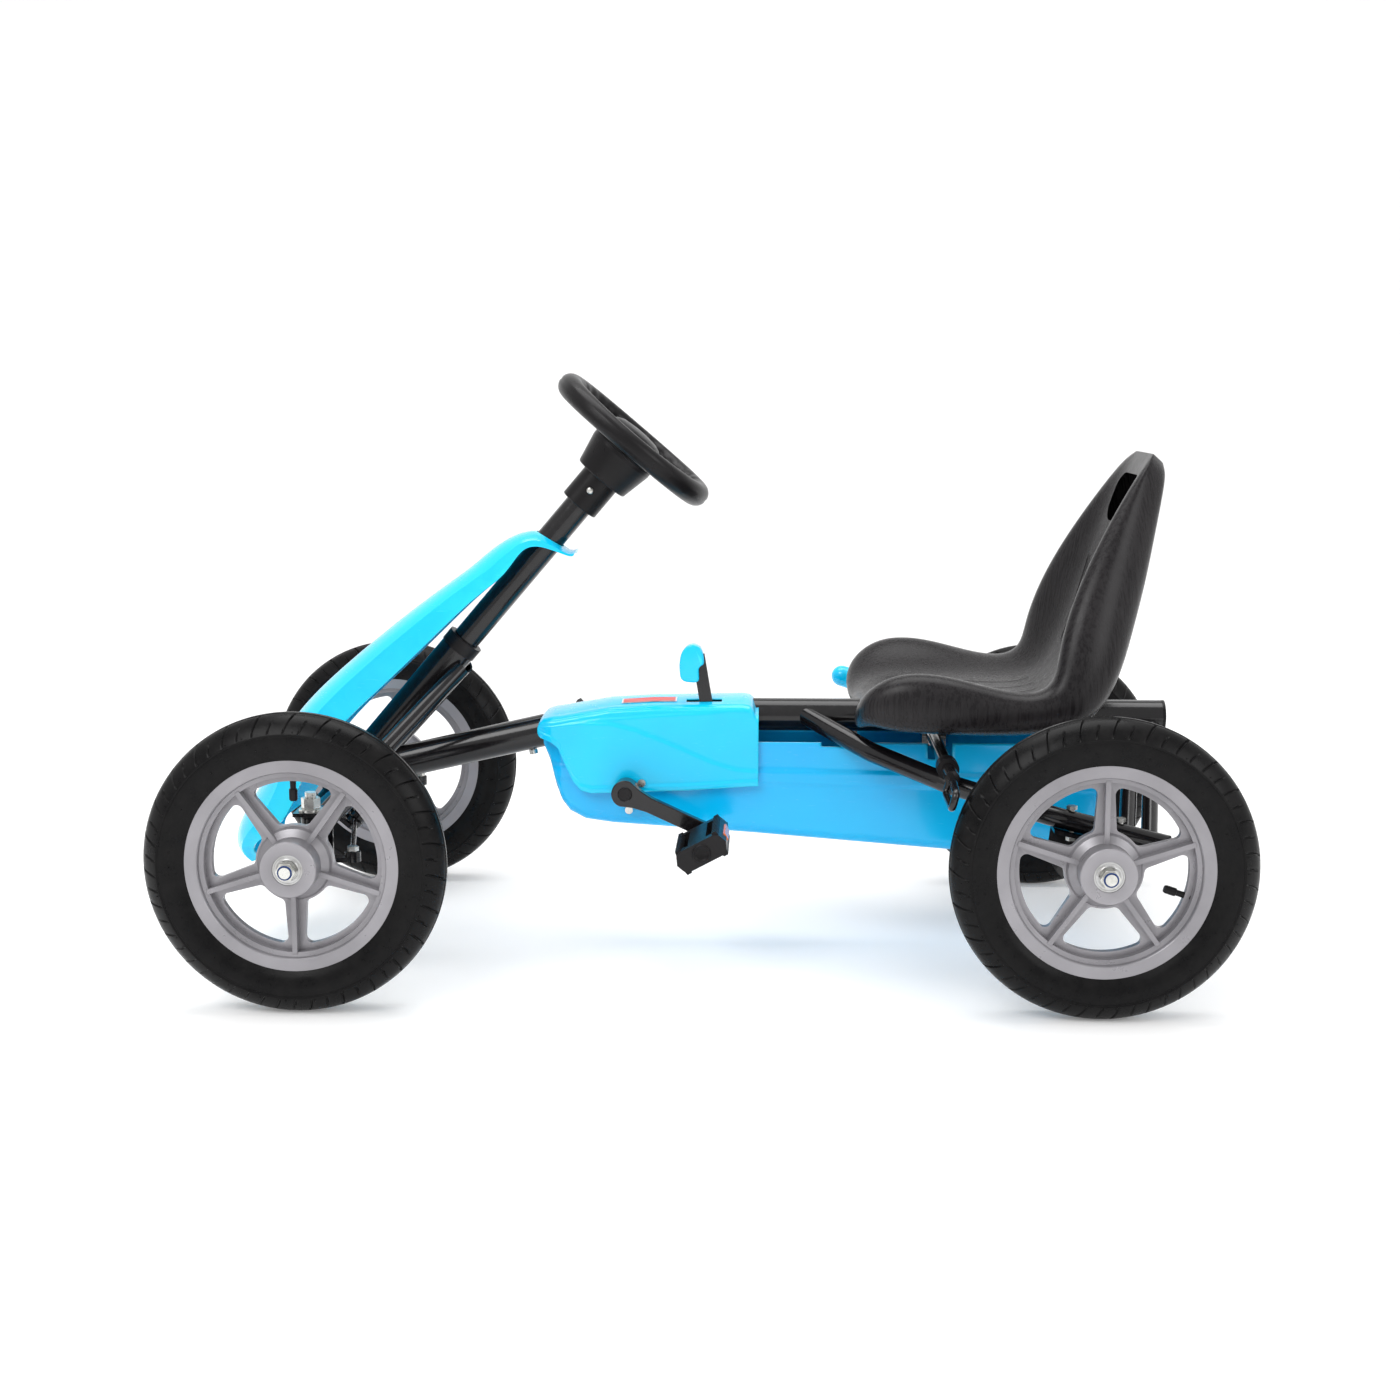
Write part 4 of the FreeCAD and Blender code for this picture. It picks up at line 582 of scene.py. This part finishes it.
def make_seat():
    """A smoothed bucket lofted from front to top, less the hand hole and the tube's channel."""
    loop = SEAT_SECTION + [(-across, up) for across, up in reversed(SEAT_SECTION[1:-1])]
    verts, faces = [], []
    last = len(SEAT_STATIONS) - 1
    for index, (x, z, half, bolster, depth) in enumerate(SEAT_STATIONS):
        before, after = SEAT_STATIONS[max(index - 1, 0)], SEAT_STATIONS[min(index + 1, last)]
        along = Vector((after[0] - before[0], 0, after[1] - before[1])).normalized()
        normal = Vector((-along.z, 0, along.x))
        for across, up in loop:
            lift = up * bolster if up > 0 else up * depth
            rear = 1.0 if up >= 0 else 1.0 - 0.2 * min(1.0, max(0.0, (z - 0.31) / 0.1)) * -up
            verts.append(tuple(Vector((x, across * half * rear, z)) + normal * lift))
    count = len(loop)
    for index in range(last):
        for step in range(count):
            following = (step + 1) % count
            faces.append((index * count + step, index * count + following,
                          (index + 1) * count + following, (index + 1) * count + step))
    faces.append(tuple(range(count)))
    faces.append(tuple(last * count + step for step in reversed(range(count))))
    bucket = bpy.data.objects.new("seat_cage", mesh_of("seat_cage", verts, faces))
    bpy.context.scene.collection.objects.link(bucket)
    smooth = bucket.modifiers.new("smooth", "SUBSURF")
    smooth.levels = smooth.render_levels = 3
    cutters = [slab("hand_hole", (0.477, 0, 0.523), (0.12, 0.1, 0.058), 0.4, 0.018),
               slab("tube_channel", (0.34, 0, 0.262), (0.6, 0.056, 0.062), 0.0, 0.01)]
    for cutter in cutters:
        difference = bucket.modifiers.new(cutter.name, "BOOLEAN")
        difference.operation = "DIFFERENCE"
        difference.solver = "EXACT"
        difference.object = cutter
    graph = bpy.context.evaluated_depsgraph_get()
    final = bpy.data.meshes.new_from_object(bucket.evaluated_get(graph))
    for item in [bucket, *cutters]:
        bpy.data.objects.remove(item)
    final.name = "seat_bucket"
    final.materials.clear()
    final.materials.append(MATERIALS["seat_plastic"])
    final.polygons.foreach_set("use_smooth", [True] * len(final.polygons))
    final.set_sharp_from_angle(angle=math.radians(42))
    seat = add_piece("seat_bucket", final, "frame", "dark_plastic", smooth=False)
    edge = seat.modifiers.new("edge", "BEVEL")
    edge.width, edge.segments, edge.limit_method, edge.angle_limit = 0.0025, 2, "ANGLE", math.radians(50)
    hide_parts("seat_shell")


def slab(name, centre, size, tilt, radius):
    """A box, tilted about Y, with its edges along X rounded."""
    work = bmesh.new()
    bmesh.ops.create_cube(work, size=1.0, matrix=Matrix.Diagonal((*size, 1.0)))
    lengthwise = [edge for edge in work.edges if abs((edge.verts[0].co - edge.verts[1].co).x) > 1e-6]
    bmesh.ops.bevel(work, geom=lengthwise, offset=radius, segments=6, affect="EDGES", profile=0.5)
    mesh = bpy.data.meshes.new(name)
    work.to_mesh(mesh)
    work.free()
    obj = bpy.data.objects.new(name, mesh)
    obj.matrix_world = Matrix.Translation(centre) @ Matrix.Rotation(tilt, 4, "Y")
    bpy.context.scene.collection.objects.link(obj)
    return obj


# ------------------------------------------------------------------ cover

def between(points, x):
    """The value at x on a line through (x, value) points."""
    if x <= points[0][0]:
        return points[0][1]
    for (x0, v0), (x1, v1) in zip(points, points[1:]):
        if x <= x1:
            return v0 + (v1 - v0) * (x - x0) / (x1 - x0)
    return points[-1][1]


def eased(value, low, high):
    """0 up to low and 1 from high, with a smooth step between."""
    share = min(1.0, max(0.0, (value - low) / (high - low)))
    return share * share * (3 - 2 * share)


# The cover's edges and creases as (x, z) points: crown, lower edge, shoulder and swoosh.
COVER_TOP = [(-0.1925, 0.262), (-0.1905, 0.2695), (-0.186, 0.274), (-0.176, 0.2775), (-0.110, 0.2895),
             (-0.060, 0.2925), (0.044, 0.2945), (0.052, 0.293), (0.056, 0.289), (0.0585, 0.282)]
COVER_LOW = [(-0.1925, 0.2545), (-0.19, 0.2505), (-0.176, 0.2455), (-0.168, 0.239), (-0.160, 0.2195),
             (-0.151, 0.200), (-0.142, 0.1895), (-0.130, 0.1865), (-0.021, 0.1905), (0.064, 0.1965)]
COVER_SHOULDER = [(-0.1925, 0.264), (-0.145, 0.2705), (-0.040, 0.2785), (0.055, 0.284)]
COVER_SWOOSH = [(-0.1925, 0.2635), (-0.145, 0.2685), (-0.110, 0.2685), (-0.078, 0.2605), (-0.040, 0.2455),
                (0.0075, 0.2245), (0.036, 0.2155), (0.064, 0.2135)]
COVER_FRONT, COVER_LENGTH = -0.1925, 0.2545
CROWN_DROP, CROWN_HALF_WIDTH = 0.0042, 0.0398


def cover_half_width(x, z):
    """How far the cover's side stands out: shoulder, swoosh and bead."""
    nose = max(0.0, (-0.172 - x) / 0.0205)
    half = 0.0495 - 0.009 * nose ** 2.2
    crease = between(COVER_SHOULDER, x)
    half += 0.0016 * (1 - eased(z, crease - 0.0015, crease + 0.0015))
    line = between(COVER_SWOOSH, x)
    half += 0.0017 * (1 - eased(z, line - 0.0022, line + 0.0014))
    low = between(COVER_LOW, x)
    half += 0.0014 * (1 - eased(z, low + 0.0058, low + 0.0076))
    return half


def make_cover():
    """Rows run from the left lower edge over the crown to the right one."""
    columns, rows = 150, 92
    verts, faces = [], []
    for column in range(columns + 1):
        x = COVER_FRONT + COVER_LENGTH * column / columns
        top, low = between(COVER_TOP, x), between(COVER_LOW, x)
        shoulder, crown = min(0.013, (top - low) * 0.4), min(CROWN_DROP, (top - low) * 0.1)
        for row in range(-rows, rows + 1):
            side = -1 if row < 0 else 1
            share = abs(row) / rows
            half = cover_half_width(x, top - shoulder)
            flat = half - shoulder
            if share < 0.2:
                across, z = flat * share / 0.2, top - crown * (share / 0.2) ** 2
            elif share < 0.4:
                turn = (share - 0.2) / 0.2 * math.pi / 2
                across = flat + shoulder * math.sin(turn)
                z = top - crown - (shoulder - crown) * (1 - math.cos(turn))
            else:
                z = top - shoulder - (top - shoulder - low) * (share - 0.4) / 0.6
                across = cover_half_width(x, z)
            verts.append((x, side * across, z))
    width = 2 * rows + 1
    for column in range(columns):
        for step in range(width - 1):
            a = column * width + step
            if not lever_slot(verts[a]):
                faces.append((a, a + width, a + 1 + width, a + 1))
    add_cover_nose(verts, faces, rows)
    cover = add_piece("cover_skin", mesh_of("cover_skin", verts, faces), "frame", "blue_plastic")
    thicken(cover, 0.0015)
    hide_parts("top_cover")


def thicken(piece, thickness):
    """Gives an open skin a wall on its inside."""
    wall = piece.modifiers.new("wall", "SOLIDIFY")
    wall.thickness, wall.offset = thickness, -1.0


def lever_slot(point):
    """True in the slot that the centre lever moves in."""
    return -0.022 < point[0] < 0.018 and -0.033 < point[1] < -0.024 and point[2] > 0.28


def add_cover_nose(verts, faces, rows):
    """The front wall, closed round the backbone's opening."""
    width = 2 * rows + 1
    tube_z, opening_radius = 0.2515, 0.0208
    start = len(verts)
    for x, y, z in verts[:width]:
        offset = Vector((0, y, z - tube_z))
        near = offset.normalized() * min(offset.length, opening_radius)
        verts.append((x - 0.0006, near.y, max(tube_z + near.z, z if z < tube_z else -1)))
    for step in range(width - 1):
        faces.append((step, step + 1, start + step + 1, start + step))


def make_label():
    """A plain red label with a pale border, with nothing printed on it."""
    half_length, half_width, steps = 0.032, 0.0095, 12
    middle = Vector((-0.06425, -0.022))
    corners = [(-0.096, -0.0315), (-0.0325, -0.0315), (-0.0325, -0.0125), (-0.096, -0.0125)]
    for name, lift, grow, material in (("label_border", 0.0003, 0.0, "reflector_white"),
                                       ("label_field", 0.0006, -0.0018, "label_red")):
        verts = []
        for edge in range(4):
            a, b = Vector(corners[edge]), Vector(corners[(edge + 1) % 4])
            for step in range(steps):
                reach = a.lerp(b, step / steps) - middle
                x = middle.x + reach.x * (1 + grow / half_length)
                y = middle.y + reach.y * (1 + grow / half_width)
                drop = CROWN_DROP * (y / CROWN_HALF_WIDTH) ** 2
                verts.append((x, y, between(COVER_TOP, x) + lift - drop))
        mesh = mesh_of(name, verts, [tuple(range(len(verts)))])
        add_piece(name, mesh, "frame", "blue_plastic", material, smooth=False)


# ------------------------------------------------------------------ steering wheel

def signed_power(value, power):
    return abs(value) ** power * (1 if value > 0 else -1)


def make_steering_wheel():
    """Grip with a seam and finger swells, two broad spokes and a soft raised pad."""
    place = Matrix.Translation(column_point(WHEEL_CENTRE)) @ Matrix((
        (COLUMN_BACK.x, 0.0, COLUMN_UP.x, 0.0), (0.0, 1.0, 0.0, 0.0),
        (COLUMN_BACK.z, 0.0, COLUMN_UP.z, 0.0), (0.0, 0.0, 0.0, 1.0)))
    grip = add_piece("grip_ring", grip_ring_mesh(), "column", "dark_plastic", at=place)
    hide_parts("steering_wheel")
    profile = [(0.0, 0.0125), (0.012, 0.0122), (0.024, 0.0108), (0.031, 0.0078), (0.0335, 0.0045),
               (0.0345, 0.001), (0.037, -0.006), (0.0395, -0.0175), (0.0, -0.0175)]
    pad = lathe("wheel_pad", profile, 72, closed=False,
                shape=lambda angle, index, r, z: (r * (1 + 0.06 * abs(math.sin(angle)) ** 3), z))
    add_piece("wheel_pad", pad, "column", "dark_plastic", at=place)
    for name, side in SIDES.items():
        add_piece(f"wheel_spoke_{name}", spoke_mesh(side), "column", "dark_plastic", at=place)
    make_column_screw()


def grip_ring_mesh():
    ring_radius, grip_radius = 0.095, 0.0122
    around, section = 192, 28
    verts, faces = [], []
    for step in range(around):
        angle = 2 * math.pi * step / around
        swell = 0.0009 * math.cos(2 * angle)
        for part in range(section):
            turn = 2 * math.pi * part / section
            radius = grip_radius + swell
            if part in (0, section // 2):
                radius -= 0.0007
            if abs(math.sin(angle)) > 0.25:
                radius += 0.0006 * math.cos(30 * angle) * max(0.0, -math.cos(turn))
            reach = ring_radius + radius * math.cos(turn)
            verts.append((reach * math.cos(angle), reach * math.sin(angle), radius * 1.05 * math.sin(turn)))
        faces += band_faces(step * section, (step + 1) % around * section, section)
    return mesh_of("grip_ring", verts, faces)


def spoke_mesh(side):
    """A broad spoke, waisted in the middle and hollowed on top, from the pad to the ring."""
    rows, count = 14, 20
    verts, faces = [], []
    for row in range(rows + 1):
        share = row / rows
        reach = 0.028 + 0.062 * share
        half = 0.027 - 0.006 * math.sin(math.pi * share) - 0.001 * share
        thick = 0.0085 - 0.003 * share
        drop = -0.004 + 0.003 * share
        for part in range(count):
            turn = 2 * math.pi * part / count
            lift = signed_power(math.sin(turn), 0.6)
            hollow = 0.002 * math.exp(-((share - 0.55) / 0.2) ** 2) if lift > 0 else 0.0
            verts.append((half * signed_power(math.cos(turn), 0.5), side * reach, drop + (thick - hollow) * lift))
    for row in range(rows):
        here, there = row * count, (row + 1) * count
        for part in range(count):
            following = (part + 1) % count
            faces.append((here + part, here + following, there + following, there + part))
    return mesh_of("wheel_spoke", verts, faces)


def make_column_screw():
    """The silver cross screw in the side of the sleeve."""
    profile = [(0.0, 0.0021), (0.0022, 0.0019), (0.0036, 0.0011), (0.0041, 0.0), (0.0041, -0.001)]
    at = Matrix.Translation(column_point(SLEEVE_SCREW, 0, -0.0228)) @ Matrix.Rotation(math.radians(90), 4, "X")
    head = lathe("column_screw", profile, 32, closed=False)
    add_piece("column_screw", head, "column", "zinc_steel", at=at)


# ------------------------------------------------------------------ chain case, grip and pedals

# The case's outline below, as (x, z) points from its front round to its rear.
CASE_LOW = [(-0.1865, 0.240), (-0.178, 0.216), (-0.172, 0.192), (-0.165, 0.174), (-0.156, 0.162),
            (-0.138, 0.1525), (-0.106, 0.148), (0.053, 0.1375), (0.284, 0.119), (0.400, 0.1143),
            (0.419, 0.114), (0.436, 0.1175), (0.4505, 0.1275), (0.459, 0.140), (0.463, 0.154),
            (0.4635, 0.165), (0.4625, 0.2145)]
CASE_TOP, CASE_REAR_BEND = 0.2455, 0.445


def make_chain_cases():
    """Two half shells with rounded lower edges and a raised band that carries on the cover's bead."""
    stops = []
    for (x0, z0), (x1, z1) in zip(CASE_LOW, CASE_LOW[1:]):
        count = max(2, int(math.hypot(x1 - x0, z1 - z0) / 0.004))
        stops += [(x0 + (x1 - x0) * i / count, z0 + (z1 - z0) * i / count) for i in range(count)]
    rows = 60
    for name, side in SIDES.items():
        verts, faces = [], []
        for x, low in stops:
            top = min(CASE_TOP, 0.243 - (x - CASE_REAR_BEND) * 1.6) if x > CASE_REAR_BEND else CASE_TOP
            top = max(top, low + 0.002)
            nose = eased(x, -0.1865, -0.165)
            corner = min(0.013, (top - low) * 0.45)
            for row in range(rows + 1):
                share = row / rows
                if share < 0.7:
                    z = top - (top - low - corner) * share / 0.7
                    across = case_half_width(x, z, nose)
                elif share < 0.88:
                    turn = (share - 0.7) / 0.18 * math.pi / 2
                    z = low + corner * (1 - math.sin(turn))
                    across = case_half_width(x, z, nose) - corner * (1 - math.cos(turn))
                else:
                    z = low
                    inner = case_half_width(x, z, nose) - corner
                    across = inner + (0.0006 - inner) * (share - 0.88) / 0.12
                verts.append((x, side * across, z))
        width = rows + 1
        for column in range(len(stops) - 1):
            for row in range(rows):
                a = column * width + row
                quad = (a, a + 1, a + 1 + width, a + width)
                if not case_gap(verts[a]):
                    faces.append(quad if side < 0 else quad[::-1])
        mesh = mesh_of("chain_case_shell", verts, faces)
        # The shells take the darker copy of the blue plastic, which is painted shade on the same blue as the
        # cover
        shell = add_piece(f"chain_case_shell_{name}", mesh, "frame", "blue_plastic", "painted_shade_blue")
        thicken(shell, 0.0024)
        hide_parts(f"chain_case_{name}")


def case_half_width(x, z, nose):
    """How far the case's side stands out: it narrows at the nose and has a raised, sloping band."""
    half = 0.0345 + 0.0105 * nose
    slope = 0.02 * (x - 0.06)
    band = eased(z, 0.1965 - slope, 0.1985 - slope)
    above = eased(z, 0.2125 - slope, 0.2150 - slope)
    return half + 0.0016 * band - 0.0022 * above


def case_gap(point):
    """The holes for the crank and the axle, and the notches for the brake shaft and the rails."""
    x, _, z = point
    holes = ((CRANK_X, CRANK_Z), (HALF_WHEELBASE, AXLE_Z))
    return (any(math.hypot(x - cx, z - cz) < 0.0095 and abs(point[1]) > 0.02 for cx, cz in holes)
            or (0.255 < x < 0.281 and z > 0.228) or (0.130 < x < 0.178 and z > 0.242))


# The centre lever's grip, as (x, z) points.
GRIP_OUTLINE = [(-0.0275, 0.3145), (-0.0295, 0.332), (-0.0275, 0.347), (-0.0205, 0.3555), (-0.0125, 0.3575),
                (-0.0045, 0.3535), (-0.0012, 0.344), (-0.0008, 0.3345), (-0.0045, 0.3325), (-0.0072, 0.329),
                (-0.0062, 0.3125)]


def make_shift_grip():
    """A smoothed outline, given thickness and rounded edges."""
    outline = [Vector(point) for point in GRIP_OUTLINE]
    for _ in range(2):
        smoother = []
        for here, following in zip(outline, outline[1:] + outline[:1]):
            smoother += [here.lerp(following, 0.2), here.lerp(following, 0.8)]
        outline = smoother
    count = len(outline)
    verts = [(p.x, y, p.y) for y in (-0.0385, -0.0185) for p in outline]
    faces = [tuple(range(count)), tuple(reversed(range(count, 2 * count)))]
    faces += [(i, i + count, (i + 1) % count + count, (i + 1) % count) for i in range(count)]
    knob = add_piece("shift_knob", mesh_of("shift_knob", verts, faces), "shift", "blue_plastic")
    bevel = knob.modifiers.new("bevel", "BEVEL")
    bevel.width, bevel.segments, bevel.angle_limit = 0.0045, 5, math.radians(50)
    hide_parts("shift_grip")


def add_block(verts, faces, low, high, taper):
    """A block between two corners; its top is smaller by taper on each side."""
    start = len(verts)
    for z, inset in ((low[2], 0.0), (high[2], taper)):
        verts += [(low[0] + inset, low[1] + inset, z), (high[0] - inset, low[1] + inset, z),
                  (high[0] - inset, high[1] - inset, z), (low[0] + inset, high[1] - inset, z)]
    for face in ((3, 2, 1, 0), (4, 5, 6, 7), (0, 1, 5, 4), (1, 2, 6, 5), (2, 3, 7, 6), (3, 0, 4, 7)):
        faces.append(tuple(start + index for index in face))


def pedal_teeth_mesh(side):
    """A row of grip teeth along each long edge of one tread."""
    verts, faces = [], []
    for step in range(12):
        near = 0.003 + step * 0.0075
        span = sorted((side * near, side * (near + 0.0042)))
        for low, high in ((-0.0262, -0.0185), (0.0185, 0.0262)):
            add_block(verts, faces, (low, span[0], 0.0090), (high, span[1], 0.0148), 0.0011)
    return mesh_of("pedal_teeth", verts, faces)


def reflector_mesh(side):
    verts, faces = [], []
    span = sorted((side * 0.022, side * 0.070))
    add_block(verts, faces, (-0.0045, span[0], 0.0272), (0.0045, span[1], 0.0304), 0.0006)
    return mesh_of("pedal_reflector", verts, faces)


def make_pedal_details():
    """Grip teeth on both treads, a round end cap and a reflector on each long side."""
    cap_profile = [(0.0, 0.0), (0.0065, 0.0), (0.0072, 0.0006), (0.0078, 0.0016), (0.0092, 0.0018),
                   (0.0102, 0.0008), (0.0104, -0.001)]
    long_side = Matrix.Rotation(math.radians(90), 4, "Y")
    for name, side in SIDES.items():
        reach = -side * CRANK_LENGTH
        tip = Vector((CRANK_X + reach * math.cos(CRANK_DROP), side * PEDAL_Y,
                      CRANK_Z - reach * math.sin(CRANK_DROP)))
        at = Matrix.Translation(tip) @ Matrix.Rotation(-PEDAL_TILT, 4, "Y")
        body = f"foot_{name}"
        for tread_name, edge_name, turn in (("over", "front", 0.0), ("under", "rear", math.pi)):
            here = at @ Matrix.Rotation(turn, 4, "Y")
            add_piece(f"pedal_teeth_{name}_{tread_name}", pedal_teeth_mesh(side), body, "dark_plastic",
                      smooth=False, at=here)
            add_piece(f"pedal_reflector_{name}_{edge_name}", reflector_mesh(side), body, "dark_plastic",
                      "reflector_orange", smooth=False, at=here @ long_side)
        outward = Matrix.Rotation(math.radians(-90 * side), 4, "X")
        add_piece(f"pedal_cap_{name}", lathe("pedal_cap", cap_profile, 40, closed=False), body, "dark_plastic",
                  at=at @ Matrix.Translation((0, side * PEDAL_WIDTH, 0)) @ outward)


make_wheels()
make_spindle_finish()
make_chain_cases()
make_shift_grip()
make_pedal_details()
make_seat()
make_cover()
make_label()
make_steering_wheel()
